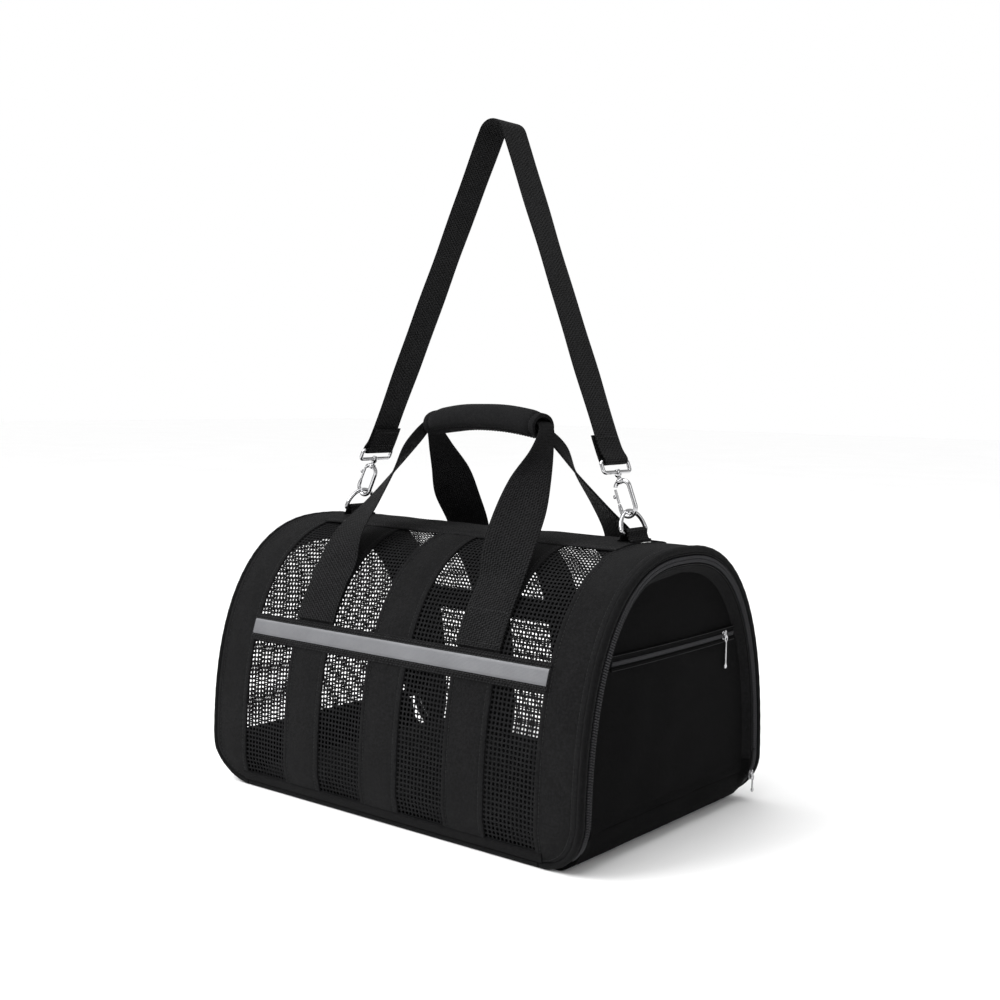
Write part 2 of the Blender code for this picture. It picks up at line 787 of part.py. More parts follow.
def shoulder_strap(frames):
    """One length of webbing, folded round both loops and bent over at the apex."""
    bend = 0.014
    right = strap_end(frames["right"], -1)
    left = strap_end(frames["left"], 1)
    apex = Vector((STRAP_APEX[0], 0, STRAP_APEX[1]))
    right_up = (apex - right[-1]).normalized()
    left_up = (apex - left[-1]).normalized()
    middle = (right_up + left_up).normalized()
    half_angle = math.acos(right_up.dot(middle))
    centre = apex - middle * bend / math.sin(half_angle)
    reach = bend / math.tan(half_angle)
    first = apex - right_up * reach - centre
    turns = np.linspace(0, math.pi - 2 * half_angle, 8)
    arc = [centre + Matrix.Rotation(-a, 3, "Y") @ first for a in turns]
    middles = right + arc + left[::-1]
    half = STRAP_WIDTH / 2
    rows = [(*point, 0, half, 0) for point in middles]
    ribbon("shoulder_strap", rows, STRAP_THICKNESS, black_webbing())


def strap_assembly():
    frames = {name: leg_frame(side) for name, side in SIDES.items()}
    for name, side in SIDES.items():
        ring_tab(f"ring_tab_{name}", side)
        tube(f"d_ring_{name}", ring_rows(side), RING_WIRE, steel(), cyclic=True)
        hook(f"hook_{name}", frames[name])
        gate(f"gate_{name}", frames[name])
        strap_loop(f"strap_loop_{name}", frames[name])
    shoulder_strap(frames)


def main():
    for leftover in list(bpy.data.objects):
        bpy.data.objects.remove(leftover)
    floor_panel()
    base_inserts()
    bands()
    mesh_windows()
    strips()
    ridge_strip()
    piping()
    rim_wires()
    left_end()
    door()
    pocket_zip()
    door_slider()
    handles()
    grip()
    strap_assembly()


main()
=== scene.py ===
"""Looks of the soft-sided pet carrier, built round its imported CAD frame."""

import math

import bmesh
import bpy
import numpy as np
from mathutils import Matrix, Vector


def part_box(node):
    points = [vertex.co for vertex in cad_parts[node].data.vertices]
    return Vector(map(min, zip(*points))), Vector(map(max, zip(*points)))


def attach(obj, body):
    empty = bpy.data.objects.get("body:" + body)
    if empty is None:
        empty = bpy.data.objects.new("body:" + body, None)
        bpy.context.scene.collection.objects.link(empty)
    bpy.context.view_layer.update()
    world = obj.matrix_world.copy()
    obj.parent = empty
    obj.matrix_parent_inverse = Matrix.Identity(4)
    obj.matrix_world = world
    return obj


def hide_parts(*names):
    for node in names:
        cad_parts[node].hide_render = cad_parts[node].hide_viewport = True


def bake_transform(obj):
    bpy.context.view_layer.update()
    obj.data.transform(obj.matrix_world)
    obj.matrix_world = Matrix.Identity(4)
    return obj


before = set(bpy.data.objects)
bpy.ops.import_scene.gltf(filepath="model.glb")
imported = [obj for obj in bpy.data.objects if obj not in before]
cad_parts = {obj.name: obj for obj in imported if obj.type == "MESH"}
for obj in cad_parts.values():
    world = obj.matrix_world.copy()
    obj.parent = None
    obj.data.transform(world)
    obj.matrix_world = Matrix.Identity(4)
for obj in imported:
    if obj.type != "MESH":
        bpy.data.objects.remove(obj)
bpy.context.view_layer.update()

# The arch, as the CAD's rim has it
HALF_LENGTH, HALF_WIDTH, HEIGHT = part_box("piping_right")[1]
BASE_HALF_WIDTH = -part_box("piping_front")[0].y - 0.0008
FLARE_HEIGHT = 0.0305
ARCH_POWER = 2.5
CORNER_RADIUS = 0.047

FABRIC_DEPTH = 0.0012
BAND_THICKNESS = 0.0018
PIPING_RADIUS = 0.0034
END_BAND_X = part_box("band_5")[0].x
STRIP_LOW, STRIP_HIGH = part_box("webbing_front")[0].z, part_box("webbing_front")[1].z
ZIP_INSET = 0.012
ZIP_DEPTH = 0.0036
DOOR_FACE_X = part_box("door_panel")[1].x
DOOR_LOW_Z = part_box("door_panel")[0].z
DOOR_INSET = 0.025
DOOR_SWELL = 0.0030
BRIM_REACH = 0.0052  # the cloth stands out this far beside the zip
BASE_CLOTH_THICKNESS = 0.0025
FOLD_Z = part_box("floor_panel")[1].z
FOLD_X = 0.1945
POCKET_ZIP_Z = 0.171
WINDOW_INSET = 0.028
NET_PITCH = 0.0043

GRIP_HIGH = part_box("grip_wrap")[1]
GRIP_Z = 0.3700
GRIP_HALF_HEIGHT = 0.0125
GRIP_DROOP = 0.0075

RING_X = 0.1735
RING_BAR_Z = 0.2705
RING_RADIUS = 0.020
RING_WIRE = 0.0020
RING_LEAN = math.radians(18)
STRAP_APEX = (0.0155, 0.673)
STRAP_HALF_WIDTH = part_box("shoulder_strap")[1].y
LOOP_LOW, LOOP_HIGH = 0.037, 0.048
LOOP_WIRE = 0.0018
HOOK_HALF_WIDTH = 0.0080
HOOK_LOW = -0.0050

X, Y, Z = np.eye(3)


# Mesh building


def add_object(name, data):
    made = bpy.data.objects.new(name, data)
    bpy.context.scene.collection.objects.link(made)
    return made


def object_from(bm, name):
    """A mesh object from a bmesh, which is freed."""
    mesh = bpy.data.meshes.new(name)
    bm.to_mesh(mesh)
    bm.free()
    return add_object(name, mesh)


def shade(piece, degrees=50):
    """Smooth shading, with edges sharper than this kept."""
    piece.data.shade_smooth()
    piece.data.set_sharp_from_angle(angle=math.radians(degrees))
    return piece


def unit(vectors):
    return vectors / np.linalg.norm(vectors, axis=-1, keepdims=True)


def reach_along(path):
    """Distance along a path to each of its points."""
    return np.concatenate([[0], np.cumsum(np.linalg.norm(np.diff(path, axis=0), axis=1))])


def nearest(path, points):
    """For each point, the index of the path's nearest one."""
    return [int(np.argmin(np.linalg.norm(path - p, axis=1))) for p in points]


def arc_points(centre, radii, start, end, count):
    """Points on an ellipse from one angle to another, in degrees."""
    turns = np.radians(np.linspace(start, end, count))
    (u, v), (ru, rv) = centre, radii
    return [(u + ru * math.cos(a), v + rv * math.sin(a)) for a in turns]


def make_piece(name, points, faces, cloth=None, closed=False):
    """A mesh object. cloth holds each point's place on the flat cloth, in metres."""
    mesh = bpy.data.meshes.new(name)
    mesh.from_pydata(np.asarray(points, float).tolist(), [], [list(f) for f in faces])
    if cloth is not None:
        layer = mesh.attributes.new("cloth", "FLOAT_VECTOR", "POINT")
        flat = np.zeros((len(points), 3), np.float32)
        flat[:, :2] = cloth
        layer.data.foreach_set("vector", flat.ravel())
    if closed:
        bm = bmesh.new()
        bm.from_mesh(mesh)
        bmesh.ops.recalc_face_normals(bm, faces=bm.faces)
        bm.to_mesh(mesh)
        bm.free()
    return shade(add_object(name, mesh))


def quads(rows, cols, close_rows=False, close_cols=False):
    """Faces of a grid of points."""
    index = np.arange(rows * cols).reshape(rows, cols)
    if close_rows:
        index = np.vstack([index, index[:1]])
    if close_cols:
        index = np.hstack([index, index[:, :1]])
    corners = (index[:-1, :-1], index[1:, :-1], index[1:, 1:], index[:-1, 1:])
    return [tuple(f) for f in np.stack(corners, -1).reshape(-1, 4)]


def end_caps(rows, sides):
    return [tuple(range(sides))[::-1], tuple(range((rows - 1) * sides, rows * sides))]


def cloth_of(points):
    """Distances along rows and columns of a grid of points, as places on the flat cloth."""
    along = np.linalg.norm(np.diff(points, axis=0), axis=-1).mean(axis=1)
    across = np.linalg.norm(np.diff(points, axis=1), axis=-1).mean(axis=0)
    v = np.concatenate([[0], np.cumsum(along)])
    u = np.concatenate([[0], np.cumsum(across)])
    return np.stack(np.meshgrid(u, v), -1)


def shell(name, outer, inner, cloth=None):
    """A closed sheet between two grids of points."""
    rows, cols = outer.shape[:2]
    flat = cloth_of(outer) if cloth is None else cloth
    ring = np.concatenate([outer, inner[:, ::-1]], axis=1)
    marks = np.concatenate([flat, flat[:, ::-1]], axis=1)
    faces = quads(rows, 2 * cols, close_cols=True)
    for first in (0, (rows - 1) * 2 * cols):
        for j in range(cols - 1):
            far = 2 * cols - 1 - j
            faces.append((first + j, first + j + 1, first + far - 1, first + far))
    return make_piece(name, ring.reshape(-1, 3), faces, marks.reshape(-1, 2), closed=True)


def tube(name, path, radius, sides=12, closed=False, normal=None, flatten=1.0):
    """A tube on a path. radius is a number, or one for each point. normal is across the bend."""
    path = np.asarray(path, float)
    ahead = np.gradient(path, axis=0)
    if closed:
        ahead = np.roll(path, -1, axis=0) - np.roll(path, 1, axis=0)
    ahead = unit(ahead)
    lift = unit(np.cross(ahead, np.broadcast_to(X if normal is None else normal, path.shape)))
    side = np.cross(lift, ahead)
    turns = np.linspace(0, 2 * math.pi, sides, endpoint=False)
    size = np.broadcast_to(np.asarray(radius, float), (len(path),))[:, None, None]
    spin = lift[:, None] * np.cos(turns)[None, :, None]
    spin = spin + side[:, None] * (flatten * np.sin(turns))[None, :, None]
    rings = path[:, None] + size * spin
    faces = quads(len(path), sides, closed, True)
    if not closed:
        faces += end_caps(len(path), sides)
    marks = np.stack(np.broadcast_arrays(turns[None] * 0.003, reach_along(path)[:, None]), -1)
    return make_piece(name, rings.reshape(-1, 3), faces, marks.reshape(-1, 2), closed=True)


def merge(name, pieces):
    """Many pieces as one object."""
    with bpy.context.temp_override(
        active_object=pieces[0], selected_editable_objects=pieces, selected_objects=pieces
    ):
        bpy.ops.object.join()
    pieces[0].name = name
    return pieces[0]


def beads(name, points, directions, normals, shape):
    """The same small body at many places. shape is (points, faces), with X along directions."""
    corners, faces = shape
    points, directions, normals = (np.asarray(a, float) for a in (points, directions, normals))
    directions = unit(directions)
    sides = unit(np.cross(normals, directions))
    ups = np.cross(directions, sides)
    local = np.asarray(corners)
    made = (
        points[:, None]
        + local[None, :, :1] * directions[:, None]
        + local[None, :, 1:2] * sides[:, None]
        + local[None, :, 2:] * ups[:, None]
    )
    count = len(local)
    all_faces = [
        tuple(i + count * n for i in face) for n in range(len(points)) for face in faces
    ]
    return make_piece(name, made.reshape(-1, 3), all_faces)


def pill(length, width, height, sides=6):
    """A small rounded body, pointed at both ends."""
    turns = np.linspace(0, 2 * math.pi, sides, endpoint=False)
    rings = [
        [(x * length, c * width, s * height) for c, s in zip(np.cos(turns), np.sin(turns))]
        for x in (-0.34, 0.34)
    ]
    corners = [(-length / 2, 0, 0), *rings[0], *rings[1], (length / 2, 0, 0)]
    faces = []
    for i in range(sides):
        j = (i + 1) % sides
        faces.append((0, 1 + j, 1 + i))
        faces.append((1 + i, 1 + j, 1 + sides + j, 1 + sides + i))
        faces.append((2 * sides + 1, 1 + sides + i, 1 + sides + j))
    return corners, faces


def resample(path, pitch):
    """Points at even steps along a path, with the path's direction there."""
    path = np.asarray(path, float)
    reach = reach_along(path)
    steps = np.arange(pitch / 2, reach[-1], pitch)
    points, ahead, behind = (
        np.stack([np.interp(steps + shift, reach, path[:, k]) for k in range(3)], -1)
        for shift in (0, pitch / 4, -pitch / 4)
    )
    return points, ahead - behind


stitch_rows = {}


def stitch(body, path, normals, pitch=0.0036):
    """A row of stitches along a path, kept until the body's stitching is made."""
    path = np.asarray(path, float)
    normals = np.broadcast_to(np.asarray(normals, float), path.shape)
    points, ahead = resample(path, pitch)
    stitch_rows.setdefault(body, []).append((points, ahead, normals[nearest(path, points)]))


def make_stitching():
    thread = thread_material()
    for body, rows in stitch_rows.items():
        points, ahead, normals = (np.concatenate(part) for part in zip(*rows))
        shape = pill(0.0028, 0.00035, 0.00035)
        piece = beads(f"stitching_{body}", points, ahead, normals, shape)
        finish(piece, thread, body, "black_webbing")


# The arch's outline


def outline_arrays():
    flare = np.linspace(0, 1, 12)[:-1]
    angles = np.linspace(0, math.pi, 401)
    across = -np.sign(np.cos(angles)) * np.abs(np.cos(angles)) ** (2 / ARCH_POWER)
    rise = np.clip(np.sin(angles), 0, None) ** (2 / ARCH_POWER)
    arch_height = HEIGHT - FLARE_HEIGHT
    out_y = np.sign(across) * np.abs(across) ** (ARCH_POWER - 1) / HALF_WIDTH
    out_z = rise ** (ARCH_POWER - 1) / arch_height
    length = np.hypot(out_y, out_z)
    flare_y = BASE_HALF_WIDTH + (HALF_WIDTH - BASE_HALF_WIDTH) * flare
    y = np.concatenate([-flare_y, HALF_WIDTH * across, flare_y[::-1]])
    z = np.concatenate([FLARE_HEIGHT * flare, FLARE_HEIGHT + arch_height * rise])
    z = np.concatenate([z, FLARE_HEIGHT * flare[::-1]])
    ny = np.concatenate([-np.ones(11), out_y / length, np.ones(11)])
    nz = np.concatenate([np.zeros(11), out_z / length, np.zeros(11)])
    reach = np.concatenate([[0], np.cumsum(np.hypot(np.diff(y), np.diff(z)))])
    return reach, y, z, ny, nz


ARC, ARC_Y, ARC_Z, ARC_NY, ARC_NZ = outline_arrays()
ARC_LENGTH = ARC[-1]
TOP = len(ARC) // 2


def arc_at(s):
    return [np.interp(s, ARC, a) for a in (ARC_Y, ARC_Z, ARC_NY, ARC_NZ)]


def arc_at_height(z):
    """Distance along the arch, from the front's base, to a height."""
    return float(np.interp(z, ARC_Z[: TOP + 1], ARC[: TOP + 1]))


def half_width_at(z):
    """Half of the arch's width at a height."""
    return np.interp(z, ARC_Z[: TOP + 1], -ARC_Y[: TOP + 1])


def inset_edge(inset):
    """Heights, from the base up, and half-widths of the arch moved this far in."""
    y, z, ny, nz = arc_at(ARC[ARC_Y > 0])
    return (z - nz * inset)[::-1], (y - ny * inset)[::-1]


def outward(s):
    """Directions out of the arch, at distances along it."""
    ny, nz = arc_at(s)[2:]
    return np.stack([0 * ny, ny, nz], -1)


def on_bag(x, s, out):
    """Points over the bag: x along it, s over the arch, out from the piping's face."""
    x, s, out = np.broadcast_arrays(x, s, out)
    y, z, ny, nz = arc_at(s)
    return np.stack([x, y + ny * out, z + nz * out], -1)


def rim_x(z, depth):
    radius = CORNER_RADIUS - depth
    drop = np.clip(CORNER_RADIUS - z, 0, None)
    return HALF_LENGTH - CORNER_RADIUS + np.sqrt(np.clip(radius**2 - drop**2, 0, None))


def on_rim(s, inset, depth, side=1):
    """Points along the rim, this far in from the arch and this far behind the rim's face."""
    s, inset, depth = np.broadcast_arrays(s, inset, depth)
    y, z, ny, nz = arc_at(s)
    x = rim_x(z, depth)
    return np.stack([side * x, y - ny * inset, z - nz * inset], -1)


def arch_steps(low_z, pitch):
    start = arc_at_height(low_z)
    count = int((ARC_LENGTH - 2 * start) / pitch)
    return np.linspace(start, ARC_LENGTH - start, count)


def wrinkle(u, v, size, seed):
    """Soft waves of cloth over a grid, from a few sine waves."""
    random = np.random.default_rng(seed)
    total = np.zeros(np.broadcast(u, v).shape)
    for _ in range(7):
        turn = random.uniform(0, math.pi)
        wave = random.uniform(0.03, 0.09)
        phase = random.uniform(0, 2 * math.pi)
        total += np.sin((u * math.cos(turn) + v * math.sin(turn)) * 2 * math.pi / wave + phase)
    return size * total / 3


# Materials


class Nodes:
    """Short names for building a material's nodes."""

    def __init__(self, name):
        self.material = bpy.data.materials.new(name)
        self.material.use_nodes = True
        self.tree = self.material.node_tree
        self.shader = self.tree.nodes["Principled BSDF"]

    def node(self, kind, **values):
        made = self.tree.nodes.new(f"ShaderNode{kind}")
        for key, value in values.items():
            setattr(made, key, value)
        return made

    def link(self, source, target):
        if hasattr(source, "default_value") or hasattr(source, "is_linked"):
            self.tree.links.new(source, target)
        else:
            target.default_value = source

    def math(self, operation, a, b=0.0, clamp=False):
        made = self.node("Math", operation=operation, use_clamp=clamp)
        self.link(a, made.inputs[0])
        self.link(b, made.inputs[1])
        return made.outputs[0]

    def cloth(self):
        split = self.node("SeparateXYZ")
        source = self.node("Attribute", attribute_name="cloth")
        self.link(source.outputs["Vector"], split.inputs[0])
        return split.outputs[0], split.outputs[1]

    def place(self):
        return self.node("TexCoord").outputs["Object"]

    def noise(self, scale, detail=3.0, roughness=0.6):
        made = self.node("TexNoise")
        made.inputs["Scale"].default_value = scale
        made.inputs["Detail"].default_value = detail
        made.inputs["Roughness"].default_value = roughness
        self.link(self.place(), made.inputs["Vector"])
        return made.outputs["Fac"]

    def wave(self, value, pitch):
        """From 0 to 1 and back, once in each pitch."""
        turned = self.math("MULTIPLY", value, 2 * math.pi / pitch)
        return self.math("MULTIPLY_ADD", self.math("SINE", turned), 0.5)

    def span(self, value, low, high, to_low, to_high):
        made = self.node("MapRange")
        made.inputs["From Min"].default_value = low
        made.inputs["From Max"].default_value = high
        made.inputs["To Min"].default_value = to_low
        made.inputs["To Max"].default_value = to_high
        self.link(value, made.inputs["Value"])
        return made.outputs[0]

    def ramp(self, value, stops):
        made = self.node("ValToRGB")
        ramp = made.color_ramp
        while len(ramp.elements) < len(stops):
            ramp.elements.new(0.5)
        for element, (at, color) in zip(ramp.elements, stops):
            element.position = at
            element.color = (*color, 1.0)
        self.link(value, made.inputs[0])
        return made.outputs[0]

    def bump(self, height, distance, strength=1.0):
        made = self.node("Bump")
        made.inputs["Distance"].default_value = distance
        made.inputs["Strength"].default_value = strength
        self.link(height, made.inputs["Height"])
        self.link(made.outputs[0], self.shader.inputs["Normal"])

    def set(self, **values):
        for key, value in values.items():
            self.shader.inputs[key.replace("_", " ")].default_value = value


def weave(nodes, pitch_u, pitch_v):
    """Height of a plain weave: the warp and the weft rise in turn."""
    u, v = nodes.cloth()
    warp = nodes.wave(u, pitch_u)
    weft = nodes.wave(v, pitch_v)
    turn_u = nodes.math("SINE", nodes.math("MULTIPLY", u, math.pi / pitch_u))
    turn_v = nodes.math("SINE", nodes.math("MULTIPLY", v, math.pi / pitch_v))
    turn = nodes.math("GREATER_THAN", nodes.math("MULTIPLY", turn_u, turn_v), 0.0)
    over = nodes.math("MULTIPLY", warp, turn)
    under = nodes.math("MULTIPLY", weft, nodes.math("SUBTRACT", 1.0, turn))
    return nodes.math("ADD", over, under)


def cloth_material(name, color, light, pitch, depth, sheen, roughness=(0.7, 0.9)):
    """Woven cloth: painted highlight on the threads' tops and painted shade between them, and soft
    uneven patches.
    """
    nodes = Nodes(name)
    height = weave(nodes, *pitch)
    patches = nodes.noise(22.0)
    fuzz = nodes.noise(900.0, 2.0)
    grain = nodes.noise(420.0, 2.0)
    # Painted light: the weave's height lightens the threads' tops and darkens the hollows between
    # them; the patches and grain are the cloth's own uneven tone.
    tone = nodes.math("MULTIPLY", height, 0.45)
    tone = nodes.math("ADD", tone, nodes.math("MULTIPLY", patches, 0.25))
    tone = nodes.math("ADD", tone, nodes.math("MULTIPLY", grain, 0.65))
    nodes.link(nodes.ramp(tone, ((0.45, color), (0.95, light))), nodes.shader.inputs["Base Color"])
    rough = nodes.span(fuzz, 0.3, 0.7, *roughness)
    nodes.link(rough, nodes.shader.inputs["Roughness"])
    nodes.bump(nodes.math("ADD", height, nodes.math("MULTIPLY", fuzz, 0.35)), depth)
    nodes.set(Sheen_Weight=sheen, Sheen_Roughness=0.45, Specular_IOR_Level=0.06)
    return nodes.material


def thread_material():
    nodes = Nodes("black_thread")
    stops = ((0.3, (0.004, 0.004, 0.0045)), (0.8, (0.020, 0.020, 0.021)))
    nodes.link(nodes.ramp(nodes.noise(400.0), stops), nodes.shader.inputs["Base Color"])
    nodes.bump(nodes.noise(2500.0), 0.0002)
    nodes.set(Roughness=0.5, Specular_IOR_Level=0.2)
    return nodes.material


def metal_material(name, color, roughness):
    nodes = Nodes(name)
    wear = nodes.noise(260.0, 4.0)
    tone = nodes.ramp(wear, ((0.2, tuple(0.82 * c for c in color)), (0.8, color)))
    nodes.link(tone, nodes.shader.inputs["Base Color"])
    scratch = nodes.noise(1400.0, 5.0)
    rough = nodes.span(scratch, 0.35, 0.75, *roughness)
    nodes.link(rough, nodes.shader.inputs["Roughness"])
    nodes.bump(scratch, 0.00003)
    nodes.set(Metallic=1.0)
    return nodes.material


def reflector_material():
    """Grey reflective tape: fine glass beads, a faint sewn lattice, and rubbed patches."""
    nodes = Nodes("reflective_tape")
    u, v = nodes.cloth()
    lattice = nodes.math("MULTIPLY", nodes.wave(u, 0.0011), nodes.wave(v, 0.0011))
    beads_noise = nodes.noise(1800.0, 2.0)
    patches = nodes.noise(30.0)
    tone = nodes.math("MULTIPLY", lattice, 0.25)
    tone = nodes.math("ADD", tone, nodes.math("MULTIPLY", beads_noise, 0.35))
    tone = nodes.math("ADD", tone, nodes.math("MULTIPLY", patches, 0.45))
    stops = ((0.2, (0.085, 0.086, 0.092)), (0.85, (0.175, 0.178, 0.188)))
    nodes.link(nodes.ramp(tone, stops), nodes.shader.inputs["Base Color"])
    nodes.link(nodes.span(beads_noise, 0.3, 0.7, 0.38, 0.55), nodes.shader.inputs["Roughness"])
    nodes.bump(nodes.math("ADD", lattice, beads_noise), 0.00012)
    nodes.set(Metallic=0.35, Coat_Weight=0.15, Coat_Roughness=0.4)
    return nodes.material


def plastic_material(name, color):
    nodes = Nodes(name)
    grain = nodes.noise(700.0, 4.0)
    tone = nodes.ramp(nodes.noise(18.0), ((0.3, color), (0.8, tuple(1.5 * c for c in color))))
    nodes.link(tone, nodes.shader.inputs["Base Color"])
    nodes.link(nodes.span(grain, 0.3, 0.7, 0.45, 0.65), nodes.shader.inputs["Roughness"])
    nodes.bump(grain, 0.0001)
    nodes.set(Specular_IOR_Level=0.25)
    return nodes.material


BLACK = (0.0014, 0.0014, 0.0016)
FABRIC = cloth_material(
    "carrier_fabric", BLACK, (0.0150, 0.0150, 0.0158), (0.0007, 0.0007), 0.0004, 0.02
)
# Painted shade: a darker copy of the carrier fabric, with no sheen, for the door end, its pocket and
# the base strip.
SHADED_END_FABRIC = cloth_material(
    "door_fabric_painted_shade", (0.0008, 0.0008, 0.0009), (0.0034, 0.0034, 0.0037), (0.0005, 0.0005), 0.0002,
    0.0, (0.8, 0.95),
)
WEBBING = cloth_material(
    "ribbed_webbing", (0.0008, 0.0008, 0.0009), (0.0170, 0.0170, 0.0178), (0.0026, 0.0018),
    0.0010, 0.02,
)
NET = cloth_material(
    "net_thread", (0.0030, 0.0030, 0.0033), (0.0180, 0.0180, 0.0190), (0.0004, 0.0004), 0.0002, 0.01
)
PIPING = cloth_material(
    "piping_fabric", (0.0010, 0.0010, 0.0011), (0.0080, 0.0080, 0.0086), (0.0008, 0.0006), 0.0003, 0.02
)
ZIP_TAPE = cloth_material(
    "zip_tape_fabric", (0.0010, 0.0010, 0.0011), (0.0060, 0.0060, 0.0065), (0.0005, 0.0009),
    0.0003, 0.0,
)
GRIP = cloth_material(
    "grip_fabric", (0.0035, 0.0035, 0.0038), (0.0150, 0.0150, 0.0160), (0.0008, 0.0008), 0.0004, 0.02
)
FLEECE = cloth_material(
    "fleece", (0.0030, 0.0030, 0.0033), (0.0150, 0.0150, 0.0160), (0.0030, 0.0030), 0.0020, 0.05
)
TOOTH = plastic_material("nylon_teeth", (0.020, 0.020, 0.022))
BOARD = plastic_material("base_board", (0.006, 0.006, 0.007))
CHROME = metal_material("chrome", (0.52, 0.52, 0.53), (0.10, 0.24))
WIRE = metal_material("spring_wire", (0.42, 0.42, 0.43), (0.25, 0.45))
REFLECTOR = reflector_material()


def finish(piece, material, body, slot, *nodes):
    """Gives a piece its material and its body, and hides the CAD nodes that it stands for. slot is not
    used.
    """
    piece.data.materials.clear()
    piece.data.materials.append(material)
    if body:
        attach(piece, body)
    if nodes:
        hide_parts(*nodes)
    return piece


def keep(node, material):
    """A CAD node that stays, with a better material."""
    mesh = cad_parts[node].data
    mesh.materials.clear()
    mesh.materials.append(material)


# The bag


HEM = 0.0052


def hem_profile(distance):
    """Height of a band across itself: a folded hem, the seam's groove, then the soft middle."""
    hem = 0.00045 * np.sin(np.clip(distance / 0.0046, 0, 1) * math.pi) ** 0.5
    groove = -0.00035 * np.exp(-(((distance - HEM) / 0.0007) ** 2))
    middle = 0.00040 * np.clip((distance - 0.007) / 0.010, 0, 1)
    return hem + groove + middle


def band(name, low_x, high_x, low_z, seed):
    """A fabric band over the arch. low_x and high_x are functions of height."""
    s = arch_steps(low_z, 0.004)[:, None]
    z = arc_at(s)[1]
    low = low_x(z)
    high = high_x(z)
    edge = np.array([0, 0.0008, 0.0020, 0.0034, 0.0044, HEM, 0.0062, 0.0085])
    width = high - low
    share = np.concatenate([edge, np.linspace(0.012, 0.0235, 3)])
    near = np.minimum(share[None], width * 0.499)
    x = np.concatenate([low + near, (high - near)[:, ::-1]], axis=1)
    distance = np.minimum(x - low, high - x)
    soft = wrinkle(x * 2.0, s, 0.00022, seed) * np.clip(distance / 0.012, 0.2, 1)
    near_hem = np.exp(-((distance / 0.009) ** 2))
    pucker = 0.00012 * np.sin(s / 0.0075 * 2 * math.pi + 4 * x) * near_hem
    out = -FABRIC_DEPTH + hem_profile(distance) + soft + pucker
    outer = on_bag(x, s, out)
    inner = on_bag(x, s, np.full_like(x, -FABRIC_DEPTH - BAND_THICKNESS))
    piece = shell(name, outer, inner)
    for x_line in (low + HEM, high - HEM):
        line = on_bag(x_line, s, -FABRIC_DEPTH - 0.00005)[:, 0]
        stitch("carrier", line, outward(s[:, 0]))
    return piece


def bands():
    def rim_edge(side):
        return lambda z: side * np.maximum(rim_x(z, 0.0060), END_BAND_X + 0.004)

    def straight(x):
        return lambda z: np.full_like(z, x)

    low_z = 2 * PIPING_RADIUS - 0.001
    left = band("fabric_band_1", rim_edge(-1), straight(-END_BAND_X), low_z, 1)
    finish(left, FABRIC, "carrier", "black_fabric", "band_1")
    right = band("fabric_band_5", straight(END_BAND_X), rim_edge(1), low_z, 5)
    finish(right, FABRIC, "carrier", "black_fabric", "band_5")
    for number in (2, 3, 4):
        low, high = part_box(f"band_{number}")
        middle = band(f"fabric_band_{number}", straight(low.x), straight(high.x), low_z, number)
        finish(middle, FABRIC, "carrier", "black_fabric", f"band_{number}")


def net_cells(columns, rows):
    """Lattice points and faces of a net with one rounded square hole in each cell, in cells."""
    wide = 2 * columns + 1
    line = np.arange(2 * rows + 1)
    v, u = np.meshgrid(line / 2, np.arange(wide) / 2, indexing="ij")
    crossing = (np.arange(wide)[None] % 2 == 0) & (line[:, None] % 2 == 0)
    points = np.stack([u, v, np.where(crossing, 1.0, 0.35)], -1).reshape(-1, 3)
    i, j = np.meshgrid(np.arange(rows), np.arange(columns), indexing="ij")
    middle = ((2 * i + 1) * wide + 2 * j + 1).ravel()
    around = ((-1, -1), (-1, 0), (-1, 1), (0, 1), (1, 1), (1, 0), (1, -1), (0, -1))
    outer = np.stack([middle + dv * wide + du for dv, du in around], -1)
    half_u, half_v, corner = 0.33, 0.35, 0.76
    hole = []
    for dv, du in around:
        pull = corner if du and dv else 1.0
        hole.append((du * half_u * pull, dv * half_v * pull))
    inner = points[middle][:, None, :2] + np.array(hole)[None]
    inner = np.concatenate([inner, np.full((*inner.shape[:2], 1), -0.6)], -1)
    first = len(points)
    index = first + np.arange(inner.shape[0] * 8).reshape(-1, 8)
    faces = np.stack(
        [outer, np.roll(outer, -1, 1), np.roll(index, -1, 1), index], -1
    ).reshape(-1, 4)
    points = np.concatenate([points, inner.reshape(-1, 3)])
    used, faces = np.unique(faces, return_inverse=True)
    return points[used], faces.reshape(-1, 4)


def side_windows():
    strand = 0.00028
    start = arc_at_height(0.006)
    rows = int((ARC_LENGTH - 2 * start) / NET_PITCH)
    for number in range(1, 5):
        low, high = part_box(f"mesh_window_{number}")
        low_x = low.x - 0.001
        high_x = high.x + 0.001
        columns = round((high_x - low_x) / NET_PITCH)
        cells, faces = net_cells(columns, rows)
        x = low_x + cells[:, 0] / columns * (high_x - low_x)
        s = start + cells[:, 1] / rows * (ARC_LENGTH - 2 * start)
        hollow = 0.0010 * np.sin(cells[:, 0] / columns * math.pi)
        out = -FABRIC_DEPTH - 0.0010 - hollow + strand * cells[:, 2]
        out += wrinkle(x, s, 0.00025, 20 + number)
        points = on_bag(x, s, out)
        piece = make_piece(f"net_window_{number}", points, faces, np.stack([x, s], -1))
        finish(piece, NET, "carrier", "black_mesh", f"mesh_window_{number}")


